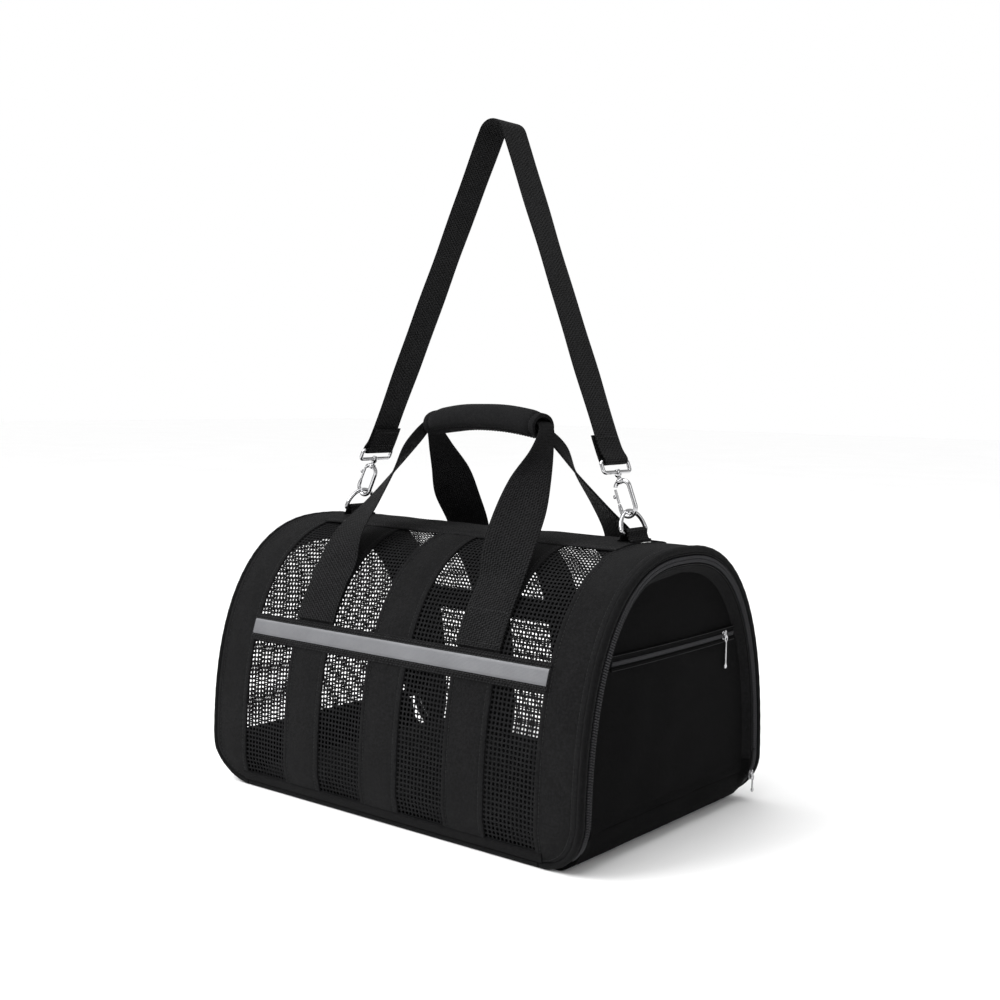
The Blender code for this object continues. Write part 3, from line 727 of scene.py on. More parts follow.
def end_net():
    """The far end's window: a flat net, cut to the arch under its border."""
    low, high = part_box("left_end_mesh")
    half = high.y + 0.002
    columns = round(2 * half / NET_PITCH)
    rows = round((high.z - low.z + 0.004) / NET_PITCH)
    cells, faces = net_cells(columns, rows)
    y = -half + cells[:, 0] / columns * 2 * half
    z = low.z - 0.001 + cells[:, 1] * NET_PITCH
    limit = np.interp(z, *inset_edge(WINDOW_INSET - 0.003), right=0.0)
    keep_point = np.abs(y) <= limit
    faces = faces[keep_point[faces].all(axis=1)]
    used, faces = np.unique(faces, return_inverse=True)
    bow = 0.0012 * np.cos(y / half * math.pi / 2)
    points = np.stack([low.x - 0.0004 * cells[:, 2] - bow, y, z], -1)[used]
    flat = np.stack([y, z], -1)[used]
    piece = make_piece("net_end_window", points, faces.reshape(-1, 4), flat)
    finish(piece, NET, "carrier", "black_mesh", "left_end_mesh")


def ridge():
    low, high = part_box("ridge_strip")
    half = high.y
    edge = float(np.interp(-half, ARC_Y[: TOP + 1], ARC[: TOP + 1]))
    s = np.linspace(edge, ARC_LENGTH - edge, 30)
    x = np.linspace(low.x, high.x, 110)
    x, s = np.meshgrid(x, s)
    distance = np.minimum(s - edge, ARC_LENGTH - edge - s)
    sag = -0.0022 * np.sin((x - low.x) / (high.x - low.x) * math.pi) ** 2
    out = 0.0002 + 1.2 * hem_profile(distance) + wrinkle(x, s, 0.00035, 31)
    outer = on_bag(x, s, out)
    outer[..., 2] += sag * 0.4
    inner = outer.copy()
    inner[..., 2] -= 0.0010
    piece = shell("ridge_cover", outer, inner)
    finish(piece, FABRIC, "carrier", "black_fabric", "ridge_strip")
    for row in (edge + HEM, edge + 0.0018, ARC_LENGTH - edge - HEM, ARC_LENGTH - edge - 0.0018):
        line = on_bag(x[0], np.full_like(x[0], row), 0.0004)
        line[:, 2] += sag[0] * 0.4
        stitch("carrier", line, outward(row))


def side_strip(name, side, low_z, high_z, half_length, base, height, material, slot, node):
    """A flat tape along one side of the bag, with soft edges."""
    low = arc_at_height(low_z)
    high = arc_at_height(high_z)
    s = np.linspace(low, high, 12)
    x = np.linspace(-half_length, half_length, 150)
    s, x = np.meshgrid(s, x)
    edge = np.minimum(s - low, high - s)
    bow = 0.0005 * np.cos(x / 0.0505 * math.pi) + wrinkle(x, s * 0.3, 0.00020, 41)
    out = base + bow + height * np.clip(edge / 0.0007, 0, 1) ** 0.5
    outer = on_bag(x, s, out)
    inner = on_bag(x, s, np.broadcast_to(base + bow - 0.0004, x.shape))
    if side > 0:
        outer = outer * (1, -1, 1)
        inner = inner * (1, -1, 1)
    piece = shell(name, outer, inner)
    finish(piece, material, "carrier", slot, node)
    return outer


def strips():
    low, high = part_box("reflector_front")
    half_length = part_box("webbing_front")[1].x
    for name, side in (("front", -1), ("rear", 1)):
        outer = side_strip(
            f"strip_webbing_{name}", side, STRIP_LOW, STRIP_HIGH, half_length,
            -FABRIC_DEPTH + 0.0007, 0.0009, WEBBING, "black_webbing", f"webbing_{name}",
        )
        for column in (2, -3):
            line = outer[:, column] + (0, side * 0.0002, 0)
            stitch("carrier", line, (0, side, 0.2), 0.0030)
        side_strip(
            f"reflective_strip_{name}", side, low.z, high.z, high.x,
            -FABRIC_DEPTH + 0.0015, 0.0007, REFLECTOR, "reflective_tape", f"reflector_{name}",
        )


def piping():
    radius = PIPING_RADIUS
    for name, side in (("right", 1), ("left", -1)):
        turns = np.linspace(0, math.pi / 2, 14)[:-1]
        reach = CORNER_RADIUS - radius
        corner_x = HALF_LENGTH - CORNER_RADIUS + reach * np.sin(turns)
        corner_z = CORNER_RADIUS - reach * np.cos(turns)
        corner_y = half_width_at(corner_z) - radius
        over = on_rim(arch_steps(CORNER_RADIUS, 0.004), radius, radius, 1)
        front = np.stack([corner_x, -corner_y, corner_z], -1)
        rear = np.stack([corner_x, corner_y, corner_z], -1)[::-1]
        path = np.concatenate([front, over, rear]) * (side, 1, 1)
        ripple = radius + 0.00010 * np.sin(np.arange(len(path)) * 1.9)
        piece = tube(f"rim_piping_{name}", path, ripple, 14)
        finish(piece, PIPING, "carrier", "black_piping", f"piping_{name}")
    for name, side in (("front", -1), ("rear", 1)):
        low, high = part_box(f"piping_{name}")
        x = np.linspace(low.x, high.x, 90)
        y = (low.y + high.y) / 2
        path = np.stack([x, np.full_like(x, y), np.full_like(x, radius)], -1)
        piece = tube(f"base_piping_{name}", path, radius, 14, normal=Y)
        finish(piece, PIPING, "carrier", "black_piping", f"piping_{name}")
        x = np.linspace(-END_BAND_X, END_BAND_X, 60)
        line = on_bag(x, arc_at_height(0.0105), -FABRIC_DEPTH + 0.0004) * (1, -side, 1)
        stitch("carrier", line, (0, side, 0))


def binding():
    """The tape that binds the bands' lower edge, over the base piping."""
    for name, side in (("front", -1), ("rear", 1)):
        reach = HALF_LENGTH - CORNER_RADIUS + 0.004
        x = np.linspace(-reach, reach, 120)
        s = np.linspace(arc_at_height(0.0058), arc_at_height(0.0145), 7)
        x, s = np.meshgrid(x, s)
        rise = np.clip((s[-1, 0] - s) / 0.001, 0, 1) ** 0.5
        out = -FABRIC_DEPTH + 0.0012 * rise + wrinkle(x, s, 0.00012, 61)
        outer = on_bag(x, s, out) * (1, -side, 1)
        inner = on_bag(x, s, np.full_like(x, -FABRIC_DEPTH - 0.0002)) * (1, -side, 1)
        piece = shell(f"base_binding_{name}", outer, inner)
        finish(piece, PIPING, "carrier", "black_piping")


def brim(y, edge):
    """How far the cloth stands out beside the zip, where the arch's half-width is edge."""
    share = (np.abs(y) - edge + DOOR_INSET + 0.001) / (DOOR_INSET - ZIP_INSET - 0.006)
    return BRIM_REACH * np.clip(share, 0, 1) ** 1.5


def base_fabric():
    """The base strip: flat, then up round both ends, with a slight belly at the ends."""
    turns = np.linspace(0, math.pi / 2, 16)
    rise = FOLD_Z - 0.0045
    reach = DOOR_FACE_X - FOLD_X
    x = FOLD_X + reach * np.sin(turns)
    z = rise * (1 - np.cos(turns))
    flat_x = np.linspace(-FOLD_X, FOLD_X, 60)[1:-1]
    x = np.concatenate([-x[::-1], flat_x, x])
    z = np.concatenate([z[::-1], np.zeros(58), z])
    edge = half_width_at(z)
    margin = np.interp(z, (0, 0.004, 0.008), (0.0072, 0.0085, ZIP_INSET + 0.001))
    half = edge - margin
    share = np.linspace(-1, 1, 41)
    y = half[:, None] * share[None]
    xs = np.repeat(x[:, None], 41, axis=1)
    zs = np.repeat(z[:, None], 41, axis=1)
    lift = np.clip(z / 0.01, 0, 1)[:, None] * (1 - np.abs(share[None]) ** 6)
    belly = 0.0015 * lift + lift * wrinkle(y, zs * 2, 0.0006, 71)
    belly = belly + brim(y, edge[:, None]) * np.clip(zs / FOLD_Z, 0, 1) ** 2
    xs = xs + np.sign(xs) * belly
    outer = np.stack([xs, y, zs], -1)
    inward = np.stack([-np.sign(xs) * np.clip(zs / FOLD_Z, 0, 1), 0 * xs, 1 + 0 * xs], -1)
    piece = shell("base_fabric", outer, outer + unit(inward) * BASE_CLOTH_THICKNESS)
    finish(piece, SHADED_END_FABRIC, "carrier", "black_fabric", "floor_panel")


def mat():
    """The fleece mat, swelled a little as cloth over wadding."""
    low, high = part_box("fleece_mat")
    bm = bmesh.new()
    bmesh.ops.create_cube(bm, size=1.0)
    for vertex in bm.verts:
        for k in range(3):
            vertex.co[k] = (low[k] + high[k]) / 2 + vertex.co[k] * (high[k] - low[k] - 0.003)
    piece = object_from(bm, "mat_pad")
    puff(piece, 0.006, 3.0, 0.004, (low, high))
    finish(piece, FLEECE, "carrier", "fleece", "fleece_mat")
    cloth_by_place(piece, 0, 1)


def cloth_by_place(piece, first, second):
    """Marks each point's place on the cloth by two of its own coordinates."""
    mesh = piece.data
    layer = mesh.attributes.get("cloth") or mesh.attributes.new("cloth", "FLOAT_VECTOR", "POINT")
    co = np.empty(len(mesh.vertices) * 3, np.float32)
    mesh.vertices.foreach_get("co", co)
    co = co.reshape(-1, 3)
    flat = np.zeros_like(co)
    flat[:, 0] = co[:, first]
    flat[:, 1] = co[:, second]
    layer.data.foreach_set("vector", flat.ravel())


def apply_modifiers(piece):
    graph = bpy.context.evaluated_depsgraph_get()
    made = bpy.data.meshes.new_from_object(piece.evaluated_get(graph))
    piece.modifiers.clear()
    old = piece.data
    piece.data = made
    bpy.data.meshes.remove(old)


def puff(piece, voxel, pressure, cap, limits, frames=16):
    """Swells a closed piece as cloth under pressure, and keeps it inside limits."""
    remesh = piece.modifiers.new("remesh", "REMESH")
    remesh.mode = "VOXEL"
    remesh.voxel_size = voxel
    apply_modifiers(piece)
    before = np.array([v.co for v in piece.data.vertices])
    cloth = piece.modifiers.new("cloth", "CLOTH")
    cloth.settings.use_pressure = True
    cloth.settings.uniform_pressure_force = pressure
    cloth.settings.effector_weights.gravity = 0.0
    cloth.settings.quality = 5
    for step in range(1, frames + 1):
        bpy.context.scene.frame_set(step)
    apply_modifiers(piece)
    bpy.context.scene.frame_set(1)
    after = np.array([v.co for v in piece.data.vertices])
    move = after - before
    length = np.linalg.norm(move, axis=1, keepdims=True)
    move *= np.minimum(1, cap / np.maximum(length, 1e-9))
    low, high = limits
    settled = np.clip(before + move, np.array(low), np.array(high))
    piece.data.vertices.foreach_set("co", settled.astype(np.float32).ravel())
    soften = piece.modifiers.new("soften", "SUBSURF")
    soften.levels = 1
    soften.render_levels = 1
    apply_modifiers(piece)
    piece.data.shade_smooth()


def interior():
    mat()
    keep("base_board", BOARD)
    for name in ("rim_wire_left", "rim_wire_right"):
        keep(name, WIRE)


# Ends


def rim_strip(name, s, section, side, material, body, slot, *nodes):
    """A strip along the rim. section is rows of (inset, depth, thickness)."""
    section = np.array(section)
    inset, depth, thickness = section.T
    outer = on_rim(s[:, None], inset[None], depth[None], side)
    inner = on_rim(s[:, None], inset[None], (depth + thickness)[None], side)
    piece = shell(name, outer, inner)
    return finish(piece, material, body, slot, *nodes)


def far_end():
    face = HALF_LENGTH - DOOR_FACE_X
    s = arch_steps(FOLD_Z + 0.0005, 0.005)
    section = (
        (0.0060, 0.0052, 0.002),
        (0.0078, 0.0050, 0.002),
        (0.0100, 0.0062, 0.002),
        (0.0145, 0.0088, 0.002),
        (0.0190, face - 0.0012, 0.0018),
        (0.0240, face - 0.0014, 0.0018),
        (0.0262, face - 0.0018, 0.0024),
        (WINDOW_INSET + 0.0005, face - 0.0014, 0.0020),
        (WINDOW_INSET + 0.0010, face + 0.0004, 0.0006),
    )
    rim_strip(
        "end_window_border", s, section, -1, FABRIC, "carrier", "black_fabric", "left_end_border"
    )
    line = on_rim(s, 0.0245, face - 0.0016, -1)
    stitch("carrier", line, -X)
    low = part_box("left_end_mesh")[0]
    half = 0.004 - low.y
    y = np.linspace(-half, half, 60)
    z = np.linspace(low.z - 0.004, low.z + 0.009, 8)
    y, z = np.meshgrid(y, z)
    rise = np.sin(np.clip((z - z[0, 0]) / (z[-1, 0] - z[0, 0]), 0, 1) * math.pi) ** 0.5
    outer = np.stack([np.full_like(y, low.x - 0.0010) - 0.0008 * rise, y, z], -1)
    inner = outer + (0.0022, 0, 0)
    sill = shell("end_window_sill", outer, inner)
    finish(sill, FABRIC, "carrier", "black_fabric")
    stitch("carrier", outer[5] - (0.0002, 0, 0), -X)


TOOTH_PITCH = 0.0023
POCKET_TOOTH_PITCH = 0.0017
ZIP_CORNER_Z = 0.0115
ZIP_FIXED_Z = 0.0275
ZIP_BEND_Z = 0.0525  # the door's own part of the zip starts here, clear of the slider


def zip_run(name, sign, s, body, *nodes):
    """A length of one half of the door's zip, outer (-1) or inner (1): its tape and its teeth."""
    share = np.linspace(0, 1, 6)
    inset = ZIP_INSET + sign * (0.0006 + 0.0054 * share)
    depth = ZIP_DEPTH - 0.0010 - 0.0004 * np.sin(share * math.pi)
    section = np.stack([inset, depth, np.full(6, 0.0012)], -1)
    tape = rim_strip(f"{name}_tape", s, section, 1, ZIP_TAPE, body, "zip_tape", *nodes)
    fine = np.arange(s[0], s[-1], 0.001)
    path = on_rim(fine, ZIP_INSET + sign * 0.0016, ZIP_DEPTH - 0.0020)
    points, ahead = resample(path, TOOTH_PITCH)
    points = points + ahead * (0.5 * (sign > 0))
    across = outward(fine)[nearest(path, points)]
    normal = np.cross(across, ahead)
    normal *= np.sign(normal[:, :1])
    teeth = beads(f"{name}_teeth", points, across, normal, pill(0.0036, 0.00085, 0.0011, 8))
    finish(teeth, TOOTH, body, "zip_tape")
    if body:
        stitch(body, on_rim(s, ZIP_INSET + sign * 0.0048, ZIP_DEPTH - 0.0016), X, 0.0030)
    return tape, teeth


def mirrored_runs(low_z, high_z):
    """The stretch of the arch between two heights, at the front and at the rear."""
    low, high = arc_at_height(low_z), arc_at_height(high_z)
    front = np.linspace(low, high, max(4, int((high - low) / 0.003)))
    return ("front", front), ("rear", ARC_LENGTH - front[::-1])


def door_zip():
    start = arc_at_height(ZIP_CORNER_Z)
    whole = np.linspace(start, ARC_LENGTH - start, 190)
    zip_run("zip_outer", -1, whole, "carrier", "zip_outer")
    zip_run("zip_inner", 1, arch_steps(ZIP_BEND_Z, 0.005), "door", "zip_inner")
    for end, s in mirrored_runs(ZIP_CORNER_Z, ZIP_FIXED_Z):
        zip_run(f"zip_low_{end}", 1, s, "carrier")
    for end, s in mirrored_runs(ZIP_FIXED_Z, ZIP_BEND_Z):
        for piece in zip_run(f"zip_bend_{end}", 1, s, None):
            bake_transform(piece)


def arch_grid(inset, low_z, high_z, rows, cols):
    """(y, z, share across, share up) over an arch-shaped panel, cut level at low_z and high_z."""
    limit_z, limit_y = inset_edge(inset)
    top = limit_z.max() if high_z is None else high_z
    up = np.linspace(0, 1, rows)
    if high_z is None:
        up = np.sin(up * math.pi / 2)
    z = low_z + (top - low_z) * up
    half = np.interp(z, limit_z, limit_y)
    if high_z is None:
        half[-1] = 0.004
    share = np.sin(np.linspace(-1, 1, cols) * math.pi / 2)
    y = half[:, None] * share[None]
    z = np.repeat(z[:, None], cols, axis=1)
    return y, z, np.broadcast_to(share[None], y.shape), np.broadcast_to(up[:, None], y.shape)


def pillow(share, up, height):
    return height * (1 - np.abs(share) ** 2.6) * np.clip(np.sin(up * math.pi), 0, 1) ** 0.55


def door():
    low_z = DOOR_LOW_Z + 0.0015
    door_zip()
    face = HALF_LENGTH - DOOR_FACE_X
    s = arch_steps(low_z, 0.005)
    gusset = (
        (ZIP_INSET + 0.0054, ZIP_DEPTH - 0.0006, 0.0012),
        (ZIP_INSET + 0.0062, ZIP_DEPTH - 0.0010, 0.0020),
        (ZIP_INSET + 0.0072, ZIP_DEPTH - 0.0004, 0.0020),
        (ZIP_INSET + 0.0082, ZIP_DEPTH + 0.0016, 0.0018),
        (ZIP_INSET + 0.0105, face - 0.0022, 0.0018),
        (DOOR_INSET - 0.0008, face - 0.0002, 0.0018),
        (DOOR_INSET + 0.0015, face + 0.0003, 0.0018),
    )
    rim_strip("door_edge", s, gusset, 1, FABRIC, "door", "black_fabric", "door_gusset")
    y, z, share, up = arch_grid(DOOR_INSET, DOOR_LOW_Z, None, 48, 45)
    swell = pillow(share, up, DOOR_SWELL) + wrinkle(y, z, 0.0008, 81) * (1 - np.abs(share) ** 4)
    x = DOOR_FACE_X + swell
    outer = np.stack([x, y, z], -1)
    inner = np.stack([np.full_like(y, DOOR_FACE_X - 0.0022), y, z], -1)
    panel = shell("door_cloth", outer, inner, np.stack([y, z], -1))
    finish(panel, SHADED_END_FABRIC, "door", "black_fabric", "door_panel")
    pocket()
    hinge_fold()


def door_x(y, z):
    """About where the door's cloth stands at a place, for what is sewn onto it."""
    half = np.interp(z, *inset_edge(DOOR_INSET))
    up = (z - DOOR_LOW_Z) / (HEIGHT - DOOR_INSET - DOOR_LOW_Z)
    return DOOR_FACE_X + pillow(y / half, np.clip(up, 0, 1), DOOR_SWELL)


def pocket():
    top = POCKET_ZIP_Z - 0.0046
    y, z, share, up = arch_grid(DOOR_INSET + 0.0004, DOOR_LOW_Z + 0.0010, top, 34, 45)
    hang = pillow(share, up * 0.5 + 0.5 * up**2, 0.0026)
    creases = 0.0009 * np.sin(y / 0.021 + 2.0) * np.exp(-((top - z) / 0.016))
    x = door_x(y, z) + 0.0016 + hang * 0.8 + creases * (1 - share**4)
    x += wrinkle(y, z, 0.0007, 91) * (1 - np.abs(share) ** 4)
    outer = np.stack([x, y, z], -1)
    inner = outer - (0.0013, 0, 0)
    cloth = shell("pocket_cloth", outer, inner, np.stack([y, z], -1))
    finish(cloth, SHADED_END_FABRIC, "door", "black_fabric", "pocket_panel")
    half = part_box("pocket_zip")[1].y
    y = np.linspace(-half, half, 60)
    for name, middle, height in (("low", -0.0048, 0.0030), ("high", 0.0054, 0.0034)):
        z = POCKET_ZIP_Z + middle + np.linspace(-0.5, 0.5, 7) * height
        ys, zs = np.meshgrid(y, z)
        rise = np.sin(np.linspace(0, 1, 7) * math.pi)[:, None] ** 0.5
        xs = door_x(ys, zs) + 0.0018 + 0.0007 * rise
        outer = np.stack([xs, ys, zs], -1)
        welt = shell(f"pocket_welt_{name}", outer, outer - (0.0012, 0, 0))
        finish(welt, SHADED_END_FABRIC, "door", "black_fabric")
        edge = outer[5 if middle > 0 else 1] + (0.0002, 0, 0)
        stitch("door", edge, X, 0.0032)
    tape_z = POCKET_ZIP_Z + np.linspace(-0.0045, 0.0045, 5)
    ys, zs = np.meshgrid(y, tape_z)
    outer = np.stack([door_x(ys, zs) + 0.0014, ys, zs], -1)
    tape = shell("pocket_zip_tape", outer, outer - (0.0009, 0, 0))
    finish(tape, ZIP_TAPE, "door", "zip_tape", "pocket_zip")
    rows = []
    for side in (-1, 1):
        pitch = POCKET_TOOTH_PITCH
        row_y = np.arange(-half + 0.002, half - 0.002, pitch) + side * pitch / 4
        row_z = np.full_like(row_y, POCKET_ZIP_Z + side * 0.0007)
        rows.append(np.stack([door_x(row_y, row_z) + 0.0019, row_y, row_z], -1))
    points = np.concatenate(rows)
    ahead, out = (np.broadcast_to(axis, points.shape) for axis in (Z, X))
    chain = beads("pocket_zip_teeth", points, ahead, out, pill(0.0026, 0.0006, 0.0008, 8))
    finish(chain, TOOTH, "door", "zip_tape")


def hinge_fold():
    """The cloth that joins the base fabric to the door."""
    edge = half_width_at(FOLD_Z)
    half = edge - ZIP_INSET - 0.0056
    y = half * np.sin(np.linspace(-1, 1, 61) * math.pi / 2)
    z = np.linspace(FOLD_Z - 0.0075, DOOR_LOW_Z + 0.0050, 14)
    ys, zs = np.meshgrid(y, z)
    lean = np.clip((FOLD_Z - zs) / 0.02, 0, 1)
    xs = DOOR_FACE_X + 0.0020 - 0.02 * lean**2 + brim(ys, edge)
    outer = np.stack([xs, ys, zs], -1)
    fold = shell("door_fold", outer, outer - (0.0016, 0, 0))
    fold.data.materials.append(SHADED_END_FABRIC)
    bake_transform(fold)


# Metal pieces


def lathe(name, frame_matrix, profile, sides=20):
    """A turned piece. profile holds (height, radius) along the frame's Z."""
    turns = np.linspace(0, 2 * math.pi, sides, endpoint=False)
    rings = np.array(
        [[(r * math.cos(a), r * math.sin(a), h) for a in turns] for h, r in profile]
    ).reshape(-1, 3)
    points = [frame_matrix @ Vector(p) for p in rings]
    faces = quads(len(profile), sides, close_cols=True) + end_caps(len(profile), sides)
    return make_piece(name, points, faces, closed=True)


def slab(name, outline, thickness, frame_matrix, bevel=0.0003):
    """A flat plate from an outline of (x, z) points in a frame, with rounded edges."""
    bm = bmesh.new()
    rings = []
    for y in (-thickness / 2, thickness / 2):
        rings.append([bm.verts.new(frame_matrix @ Vector((x, y, z))) for x, z in outline])
    bm.faces.new(rings[0])
    bm.faces.new(rings[1][::-1])
    for i in range(len(outline)):
        j = (i + 1) % len(outline)
        bm.faces.new((rings[0][i], rings[1][i], rings[1][j], rings[0][j]))
    bmesh.ops.recalc_face_normals(bm, faces=bm.faces)
    caps = [f for f in bm.faces if len(f.verts) > 4]
    edges = {e for f in caps for e in f.edges}
    bmesh.ops.bevel(bm, geom=list(edges), offset=bevel, segments=3, affect="EDGES")
    return shade(object_from(bm, name), 35)


def along_x_frame(x, y, z):
    """A frame at a place whose Y looks along +X: plates made in it lie in the YZ plane."""
    axes = Matrix(((0, 1, 0), (1, 0, 0), (0, 0, 1)))
    return Matrix.Translation((x, y, z)) @ axes.to_4x4()


def puller(name, body_slider, body_pull):
    """A zip slider with a domed body and bridge, and its pull with a wire link."""
    low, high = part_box(f"{name}_slider")
    tab_low, tab_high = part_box(f"{name}_pull")
    y = (low.y + high.y) / 2
    z = (low.z + high.z) / 2
    x = (low.x + high.x) / 2 - 0.0003
    half_y = (high.y - low.y) / 2
    half_z = (high.z - low.z) / 2
    outline = [
        (-0.55 * half_y, -half_z), (0.55 * half_y, -half_z), (half_y, -0.1 * half_z),
        (half_y, 0.75 * half_z), (0.6 * half_y, half_z), (0, 0.72 * half_z),
        (-0.6 * half_y, half_z), (-half_y, 0.75 * half_z), (-half_y, -0.1 * half_z),
    ]
    plate = slab(f"{name}_slider_body", outline, 0.0019, along_x_frame(x, y, z), bevel=0.0005)
    arch = arc_points((z, high.x - 0.0006), (0.0030, 0.0016), 0, 180, 12)
    bridge_path = [(out, y, up) for up, out in arch]
    bridge = tube(f"{name}_bridge", bridge_path, 0.0007, 10, normal=Y, flatten=1.8)
    body = merge(f"{name}_slider_metal", [plate, bridge])
    finish(body, CHROME, body_slider, "chrome", f"{name}_slider")
    tab_x = (tab_low.x + tab_high.x) / 2
    top = tab_high.z
    length = top - tab_low.z
    eye = arc_points((y, top - 0.0026), (0.00216, 0.00276), 0, 360, 20)[:-1]
    link = tube(f"{name}_link", [(tab_x, u, v) for u, v in eye], 0.00060, 8, closed=True, normal=X)
    half = (tab_high.y - tab_low.y) / 2
    round_end = (0, -length + half + 0.0018)
    stem = [
        (-0.0008, -0.0045), (0.0008, -0.0045), (0.0010, -0.7 * length),
        *arc_points(round_end, (half, half), 60, -90, 8),
        *arc_points(round_end, (-half, half), -70, 60, 8),
        (-0.0010, -0.7 * length),
    ]
    shape = slab(f"{name}_tab", stem, 0.0012, along_x_frame(tab_x, y, top), bevel=0.0003)
    pull = merge(f"{name}_pull_metal", [link, shape])
    finish(pull, CHROME, body_pull, "chrome", f"{name}_pull")


def leg_frame(side):
    start = Vector((
        side * (RING_X - RING_RADIUS * math.sin(RING_LEAN)), 0,
        RING_BAR_Z + RING_RADIUS * math.cos(RING_LEAN),
    ))
    up = (Vector((STRAP_APEX[0], 0, STRAP_APEX[1])) - start).normalized()
    forward = Vector((0, 1, 0))
    axes = Matrix((forward.cross(up), forward, up)).transposed().to_4x4()
    return Matrix.Translation(start) @ axes


def local(frame_matrix, points):
    return np.array([frame_matrix @ Vector(p) for p in points])


def d_ring(name, side):
    bow = arc_points((0, 0), (RING_RADIUS, RING_RADIUS), 10, 170, 40)
    corner = 0.0030
    y = RING_RADIUS
    left = arc_points((-y + corner, corner), (corner, corner), 180, 270, 6)
    right = [(-u, v) for u, v in left[::-1]]
    bar = [(u, 0.0) for u in np.linspace(-y + 1.5 * corner, y - 1.5 * corner, 8)]
    lean, rise = math.sin(RING_LEAN), math.cos(RING_LEAN)
    outline = [*bow, *left, *bar, *right]
    path = [(side * (RING_X - v * lean), u, RING_BAR_Z + v * rise) for u, v in outline]
    across = (rise * side, 0, lean)
    ring = tube(f"ring_{name}", path, RING_WIRE, 16, closed=True, normal=across)
    finish(ring, CHROME, f"d_ring_{name}", "chrome", f"d_ring_{name}")


def hook(name, frame_matrix):
    """A cast snap hook: bowl, spine, shoulders, ball swivel and stem, and a sprung gate."""
    half = HOOK_HALF_WIDTH
    centre = HOOK_LOW + half
    shoulder = 0.0215
    bowl = arc_points((0, centre), (half, half), 0, -180, 26)
    arc = arc_points((0, shoulder), (half, 0.0068), 88, 0, 12)
    spine = [(half, z) for z in np.linspace(shoulder - 0.001, centre + 0.001, 8)]
    nose = [(-half, z) for z in np.linspace(centre + 0.0005, 0.0086, 5)]
    path = [(x, 0, z) for x, z in (*arc, *spine, *bowl, *nose)]
    radii = np.interp(
        np.linspace(0, 1, len(path)),
        (0, 0.18, 0.5, 0.75, 0.95, 1),
        (0.0024, 0.0021, 0.0021, 0.0022, 0.0019, 0.0013),
    )
    body = tube(f"{name}_bow", local(frame_matrix, path), radii, 16, normal=Y)
    left_path = arc_points((0, shoulder + 0.0008), (-0.0070, 0.0060), 20, 85, 8)
    left_points = local(frame_matrix, [(x, 0, z) for x, z in left_path])
    left = tube(f"{name}_shoulder", left_points, 0.0020, 14, normal=Y)
    crown = lathe(
        f"{name}_crown", frame_matrix,
        [(0.0255, 0.0016), (0.0262, 0.0030), (0.0275, 0.0037), (0.0292, 0.0037),
         (0.0302, 0.0030), (0.0306, 0.0021), (0.0322, 0.0019), (0.0328, 0.0026),
         (0.0340, 0.0032), (0.0348, 0.0032), (0.0350, 0.0020)],
    )
    metal = merge(f"{name}_metal", [body, left, crown])
    finish(metal, CHROME, name, "chrome", name)
    gate_name = name.replace("hook", "gate")
    bar = [(-half + 0.0003 * t, 0, 0.0094 + t * (0.0225 - 0.0094)) for t in np.linspace(0, 1, 8)]
    stem = tube(f"{gate_name}_bar", local(frame_matrix, bar), 0.00125, 12, normal=Y)
    place = Matrix.Translation((-half - 0.0011, 0, 0.0165)) @ Matrix.Rotation(-math.pi / 2, 4, "Y")
    knob = lathe(
        f"{gate_name}_knob",
        frame_matrix @ place,
        [(-0.0006, 0.0010), (0.0004, 0.0013), (0.0012, 0.0020), (0.0020, 0.0018), (0.0023, 0.0008)],
    )
    gate = merge(f"{gate_name}_metal", [stem, knob])
    finish(gate, CHROME, gate_name, "chrome", gate_name)


def strap_loop(name, frame_matrix):
    half = 0.0215
    corner = 0.0032
    outline = []
    for y, z, start in (
        (half - corner, LOOP_HIGH - corner, 0), (-half + corner, LOOP_HIGH - corner, 90),
        (-half + corner, LOOP_LOW + corner, 180), (half - corner, LOOP_LOW + corner, 270),
    ):
        turned = arc_points((y, z), (corner, corner), start, start + 90, 7)
        outline += [(0, u, v) for u, v in turned]
    normal = (frame_matrix.to_3x3() @ Vector((1, 0, 0)))[:]
    points = local(frame_matrix, outline)
    wire = tube(f"{name}_wire", points, LOOP_WIRE, 14, closed=True, normal=normal)
    boss = lathe(
        f"{name}_boss", frame_matrix,
        [(LOOP_LOW - 0.0016, 0.0020), (LOOP_LOW - 0.0012, 0.0030), (LOOP_LOW + 0.0008, 0.0032),
         (LOOP_LOW + 0.0022, 0.0026), (LOOP_LOW + 0.0026, 0.0012)],
    )
    metal = merge(f"{name}_metal", [wire, boss])
    finish(metal, CHROME, "strap", "chrome", name)


# Webbing


def smooth(rows, steps):
    """Catmull-Rom curve through rows of numbers."""
    rows = np.array([rows[0], *rows, rows[-1]], float)
    curve = []
    for a, b, c, d in zip(rows, rows[1:], rows[2:], rows[3:]):
        for t in np.arange(steps) / steps:
            bend = (2 * a - 5 * b + 4 * c - d) * t**2 + (3 * b - a - 3 * c + d) * t**3
            curve.append((2 * b + (c - a) * t + bend) / 2)
    curve.append(rows[-1])
    return np.array(curve)


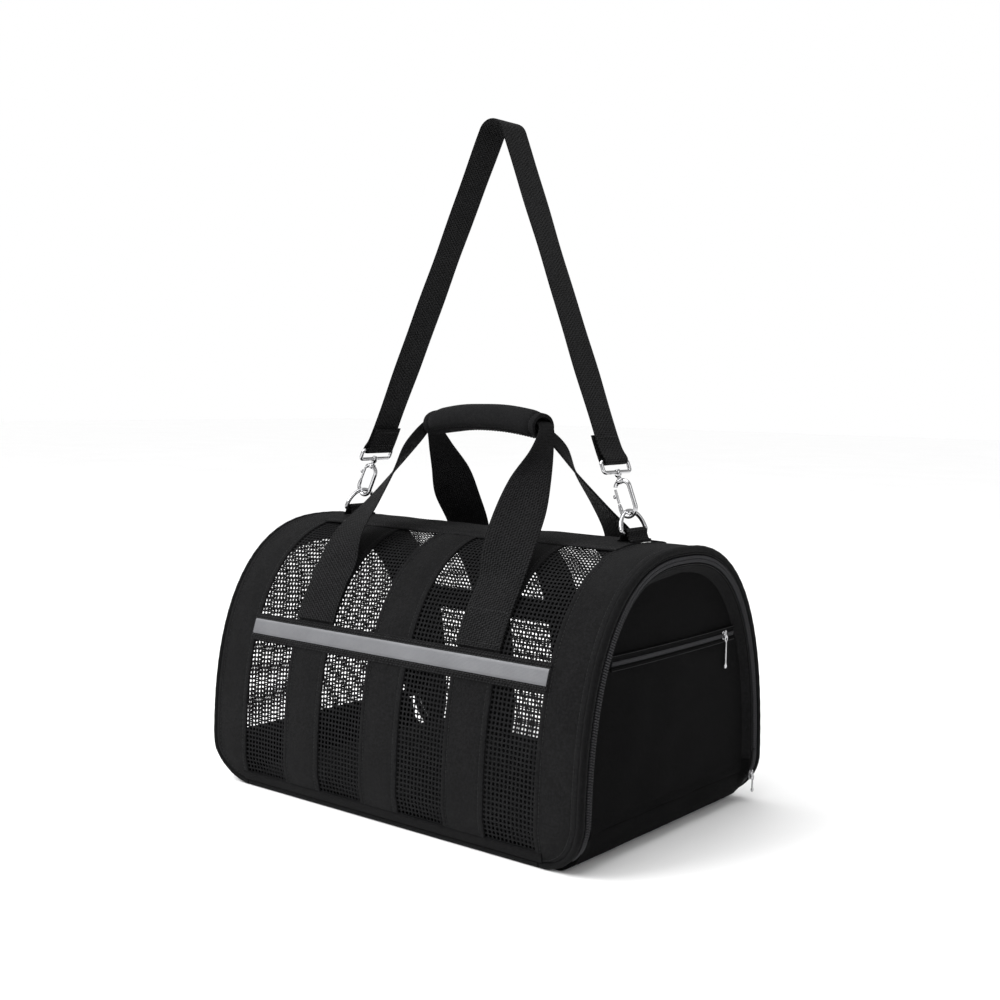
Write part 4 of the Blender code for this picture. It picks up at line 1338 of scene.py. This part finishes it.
def ribbon(name, middles, halves, thickness, material, body, slot, node, seed=0, curl=0.0):
    """A webbing strap with rounded selvedges. Returns both of its faces as grids of points."""
    ahead = np.gradient(middles, axis=0)
    up = unit(np.cross(ahead, halves))
    share = np.array([-1, -0.985, -0.95, -0.90, -0.6, -0.3, 0, 0.3, 0.6, 0.90, 0.95, 0.985, 1])
    rise = thickness / 2 * np.clip(1 - np.abs(share) ** 24, 0.15, 1)
    rise = rise + 0.00018 * np.exp(-(((np.abs(share) - 0.93) / 0.03) ** 2))
    reach = reach_along(middles)
    width = np.linalg.norm(halves, axis=1)
    random = np.random.default_rng(seed)
    phase = random.uniform(0, 6, 4)
    wave = curl * np.sin(reach / 0.031 + phase[0]) + curl * 0.6 * np.sin(reach / 0.013 + phase[1])
    bow = wave[:, None] * share[None] ** 2 * np.sign(share[None] + 0.3)
    centre = middles[:, None] + halves[:, None] * share[None, :, None] + up[:, None] * bow[..., None]
    upper = centre + up[:, None] * rise[None, :, None]
    lower = centre - up[:, None] * rise[None, :, None]
    flat = np.stack(np.broadcast_arrays(share[None] * width.max(), reach[:, None]), -1)
    piece = shell(name, upper, lower, flat)
    finish(piece, material, body, slot, node)
    return upper, lower


def grip_droop(x):
    """How far the grip, and the handles in it, hang below their middle at a place along X."""
    return GRIP_DROOP * (x / GRIP_HIGH.x) ** 2


def handle_rows(in_grip_z):
    """The handle's right front leg, from its sewn end up to the middle of the grip.

    Rows hold the middle's place, then half of the width as a vector.
    """
    x = 0.101
    half = 0.025
    face = 0.0011 + 0.0003 - FABRIC_DEPTH
    rows = []
    for z, lift in ((STRIP_HIGH + 0.002, 0.0003), (0.192, 0.0004), (0.210, 0.0012), (0.226, 0.0036)):
        point = on_bag(x, arc_at_height(z), face + lift)
        rows.append((*point, half, 0, 0))
    nest = in_grip_z - GRIP_Z
    rows += [
        (0.0990, -0.0900, 0.2560, 0.0240, 0.0065, 0),
        (0.0915, -0.0640, 0.2860, 0.0195, 0.0138, 0),
        (0.0830 + nest, -0.0400, 0.3160, 0.0125, 0.0155, 0),
        (0.0790 + 1.2 * nest, -0.0180, 0.3430, 0.0030, 0.0140, 0),
        (0.0700 + nest, -0.0010, in_grip_z - 0.0078, 0.0005, 0.0098, 0),
        (0.0500, 0.0000, in_grip_z - grip_droop(0.0500), 0, 0.0100, 0),
        (0.0250, 0.0000, in_grip_z - grip_droop(0.0250), 0, 0.0105, 0),
        (0.0000, 0.0000, in_grip_z, 0, 0.0105, 0),
    ]
    return smooth(rows, 9)


def handles():
    spacing = 0.0040
    for name, side in (("front", 1), ("rear", -1)):
        right = handle_rows(GRIP_Z + side * spacing / 2)
        left = right[-2::-1] * (-1, 1, 1, 1, -1, 1)
        rows = np.concatenate([right, left]) * (side, side, 1, side, side, 1)
        upper, lower = ribbon(
            f"handle_webbing_{name}", rows[:, :3], rows[:, 3:], 0.0021, WEBBING,
            "carrier", "black_webbing", f"handle_{name}", seed=7 + side, curl=0.0002,
        )
        outer = upper if (upper[0, 6] - lower[0, 6])[1] * side < 0 else lower
        box_stitches(outer, side)


def box_stitches(face, side):
    """A stitched box with a cross at each sewn end of a handle."""
    for end in (face, face[::-1]):
        reach = reach_along(end[:, 6])

        def at(share, distance, end=end, reach=reach):
            left = np.stack([np.interp(distance, reach, end[:, 2, k]) for k in range(3)])
            right = np.stack([np.interp(distance, reach, end[:, 10, k]) for k in range(3)])
            return left + (right - left) * share + np.array((0, -side * 0.00025, 0.0001))

        near, far = 0.004, 0.034
        corners = [(0.02, near), (0.98, near), (0.98, far), (0.02, far)]
        lines = [*zip(corners, corners[1:] + corners[:1]), (corners[0], corners[2])]
        lines.append((corners[1], corners[3]))
        for (u0, v0), (u1, v1) in lines:
            t = np.linspace(0, 1, 16)
            path = [at(u0 + (u1 - u0) * k, v0 + (v1 - v0) * k) for k in t]
            stitch("carrier", path, (0, -side, 0.3), 0.0032)


def grip():
    """The padded grip: a quilted wrap with a bound edge, and its closing flap."""
    half_length = GRIP_HIGH.x
    half_width = GRIP_HIGH.y
    x = np.linspace(-1, 1, 70)

    def wall(start, end, count, depth, swell, reach, seed):
        turns = np.radians(np.linspace(start, end, count))
        xs, angle = np.meshgrid(x * reach, turns, indexing="ij")
        share = np.abs(xs) / reach
        edge_a = np.minimum(angle - turns[0], turns[-1] - angle) * half_width
        edge_x = (1 - share) * reach
        edge = np.minimum(edge_a, edge_x)
        quilt = swell * np.clip((edge - 0.006) / 0.007, 0, 1) ** 0.6
        bound = 0.0006 * (edge < 0.0045) - 0.0009 * np.exp(-(((edge - 0.0056) / 0.0011) ** 2))
        waves = 0.0003 if depth < 0.001 else 0
        out = quilt + bound - depth + wrinkle(xs, angle * 0.03, waves, seed)
        droop = grip_droop(xs)
        y = -(half_width - 0.0006 + out) * np.cos(angle)
        z = GRIP_Z - droop + (GRIP_HALF_HEIGHT - 0.0006 + out) * np.sin(angle)
        return np.stack([xs, y, z], -1)

    for name, start, end, count, reach, seed in (
        ("wrap", 292, 558, 60, half_length, 101), ("flap", 201, 289, 22, half_length * 0.97, 103)
    ):
        outer = wall(start, end, count, 0.0, 0.0016, reach, seed)
        inner = wall(start, end, count, 0.0034, 0.0, reach, seed)
        piece = shell(f"grip_{name}_pad", outer, inner)
        body = "carrier" if name == "wrap" else "grip_flap"
        finish(piece, GRIP, body, "grip_fabric", f"grip_{name}")
        inset_rows = 3
        inset_cols = 4 if name == "wrap" else 3
        middle_rows = outer[inset_rows:-inset_rows]
        middle_cols = outer[:, inset_cols:-inset_cols]
        loops = [
            middle_rows[:, inset_cols], middle_rows[:, -1 - inset_cols],
            middle_cols[inset_rows], middle_cols[-1 - inset_rows],
        ]
        for line in loops:
            away = line - np.array((0, 0, GRIP_Z))
            away[:, 0] = 0
            stitch(body, line + away * 0.012, unit(away), 0.0034)


def ring_tab(name, side):
    """A webbing loop round the ring's bar, sewn down to the ridge with a folded foot."""
    low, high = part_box(f"ring_tab_{name}")
    bend = high.z - RING_BAR_Z - 0.0008
    x = side * RING_X
    top = arc_points((x, RING_BAR_Z), (bend, bend), -20, 200, 18)
    foot_z = low.z + 0.0008
    path = [(x + 0.0080, foot_z), (x + 0.0062, foot_z + 0.0001), (x + 0.0048, foot_z + 0.0012), *top]
    path += [(x - 0.0048, foot_z + 0.0012), (x - 0.0062, foot_z + 0.0001), (x - 0.0080, foot_z)]
    path = smooth(path, 2)
    middles = np.stack([path[:, 0], 0 * path[:, 0], path[:, 1]], -1)
    halves = np.broadcast_to((0, high.y, 0), middles.shape)
    ribbon(
        f"ring_tab_webbing_{name}", middles, halves, 0.0016, WEBBING, "carrier",
        "black_webbing", f"ring_tab_{name}", seed=55,
    )
    y = np.linspace(-high.y + 0.002, high.y - 0.002, 10)
    for sign in (-1, 1):
        line = [(x + sign * 0.0052, v, foot_z + 0.0022) for v in y]
        stitch("carrier", line, (sign, 0, 0.5), 0.0030)


def strap_end(frame_matrix, side):
    turn = LOOP_WIRE + 0.0003 + 0.0009
    tail = side * 2 * turn
    rows = [(tail * 0.55, LOOP_HIGH + 0.0260), (tail * 0.55, LOOP_HIGH + 0.0120)]
    rows.append((tail / 2 * 1.02, LOOP_HIGH + 0.0020))
    rows += arc_points((0, LOOP_HIGH), (side * turn, -turn), 0, 180, 7)[1:-1]
    rows += [(-side * turn, LOOP_HIGH + 0.0020), (-side * 0.0006, LOOP_HIGH + 0.0110)]
    rows.append((0.0, LOOP_HIGH + 0.0260))
    return [frame_matrix @ Vector((x, 0, z)) for x, z in rows]


def shoulder_strap(frames):
    bend = 0.014
    right = strap_end(frames["right"], -1)
    left = strap_end(frames["left"], 1)
    apex = Vector((STRAP_APEX[0], 0, STRAP_APEX[1]))
    right_up = (apex - right[-1]).normalized()
    left_up = (apex - left[-1]).normalized()
    middle = (right_up + left_up).normalized()
    half_angle = math.acos(right_up.dot(middle))
    centre = apex - middle * bend / math.sin(half_angle)
    first = apex - right_up * bend / math.tan(half_angle) - centre
    turns = np.linspace(0, math.pi - 2 * half_angle, 14)
    arc = np.array([centre + Matrix.Rotation(-a, 3, "Y") @ first for a in turns])
    right = np.array(right)
    left = np.array(left)[::-1]
    up_right = np.linspace(right[-1], arc[0], 60)[1:-1]
    down_left = np.linspace(arc[-1], left[0], 60)[1:-1]
    middles = np.concatenate([smooth(right, 4), up_right, arc, down_left, smooth(left, 4)])
    halves = np.broadcast_to((0, STRAP_HALF_WIDTH, 0), middles.shape)
    ribbon(
        "strap_webbing", middles, halves, 0.0018, WEBBING, "strap", "black_webbing",
        "shoulder_strap", seed=3, curl=0.00035,
    )
    for name, frame_matrix in frames.items():
        for sign, offset in ((1, 0.0052), (-1, 0.0020)):
            out = (frame_matrix.to_3x3() @ Vector((sign, 0, 0)))[:]
            side = -1 if name == "right" else 1
            away = offset if sign == side else 0.0014
            for z in (LOOP_HIGH + 0.0075, LOOP_HIGH + 0.0225):
                y = np.linspace(-STRAP_HALF_WIDTH + 0.003, STRAP_HALF_WIDTH - 0.003, 12)
                line = local(frame_matrix, [(sign * away, v, z) for v in y])
                stitch("strap", line, out, 0.0030)


def metal_and_strap():
    frames = {"right": leg_frame(1), "left": leg_frame(-1)}
    for name, side in (("right", 1), ("left", -1)):
        ring_tab(name, side)
        d_ring(name, side)
        hook(f"hook_{name}", frames[name])
        strap_loop(f"strap_loop_{name}", frames[name])
    shoulder_strap(frames)


# Studio


def area_light(name, place, target, size, power):
    data = bpy.data.lights.new(name, "AREA")
    data.shape = "RECTANGLE"
    data.size, data.size_y = size
    data.energy = power
    lamp = add_object(name, data)
    lamp.location = place
    lamp.rotation_euler = (Vector(target) - Vector(place)).to_track_quat("-Z", "Y").to_euler()


def studio():
    scene = bpy.context.scene
    world = bpy.data.worlds.new("studio")
    world.use_nodes = True
    tree = world.node_tree
    background = tree.nodes["Background"]
    background.inputs["Color"].default_value = (1.0, 1.0, 1.0, 1.0)
    seen = tree.nodes.new("ShaderNodeLightPath")
    strength = tree.nodes.new("ShaderNodeMapRange")
    strength.inputs["To Min"].default_value = 0.50
    strength.inputs["To Max"].default_value = 1.0
    tree.links.new(seen.outputs["Is Camera Ray"], strength.inputs["Value"])
    tree.links.new(strength.outputs[0], background.inputs["Strength"])
    scene.world = world
    scene.view_settings.view_transform = "Standard"
    middle = (0, 0, 0.2)
    area_light("key", (-0.9, -1.5, 1.7), middle, (1.2, 1.0), 34)
    area_light("side", (1.9, -0.5, 1.0), middle, (0.8, 1.2), 7)
    area_light("top", (0.1, 0.5, 2.0), middle, (1.4, 1.0), 12)
    sun = add_object("sun", bpy.data.lights.new("sun", "SUN"))
    sun.data.energy = 2.3
    sun.data.angle = math.radians(70)
    sun.rotation_euler = Vector((0.35, 0.55, -1.0)).to_track_quat("-Z", "Y").to_euler()
    bm = bmesh.new()
    bmesh.ops.create_grid(bm, x_segments=2, y_segments=2, size=12.0)
    floor = object_from(bm, "floor")
    floor.location.z = -0.0002
    nodes = Nodes("floor")
    tone = nodes.ramp(nodes.noise(3.0), ((0.2, (0.90, 0.90, 0.90)), (0.8, (0.93, 0.93, 0.93))))
    nodes.link(tone, nodes.shader.inputs["Base Color"])
    nodes.set(Roughness=0.8)
    floor.data.materials.append(nodes.material)


def camera():
    azimuth, elevation, roll = (math.radians(a) for a in (38.51, 4.624, 0.906))
    target = Vector((0.0176, 0, 0.2899))
    distance = 1.3161
    back = Vector((
        math.sin(azimuth) * math.cos(elevation),
        -math.cos(azimuth) * math.cos(elevation),
        math.sin(elevation),
    ))
    right = Vector((math.cos(azimuth), math.sin(azimuth), 0))
    up = back.cross(right)
    turned_right = right * math.cos(roll) + up * math.sin(roll)
    turned_up = up * math.cos(roll) - right * math.sin(roll)
    data = bpy.data.cameras.new("camera")
    data.sensor_width = 36.0
    data.lens = 48.57
    view = add_object("camera", data)
    axes = Matrix((turned_right, turned_up, back)).transposed().to_4x4()
    view.matrix_world = Matrix.Translation(target + back * distance) @ axes
    bpy.context.scene.camera = view


camera()
studio()
bands()
side_windows()
end_net()
ridge()
strips()
piping()
binding()
base_fabric()
interior()
far_end()
door()
puller("pocket", "pocket_slider", "pocket_pull")
puller("door", "carrier", "door_pull")
handles()
grip()
metal_and_strap()
make_stitching()


def corners(bounds):
    return [[float(value) for value in corner] for corner in bounds]
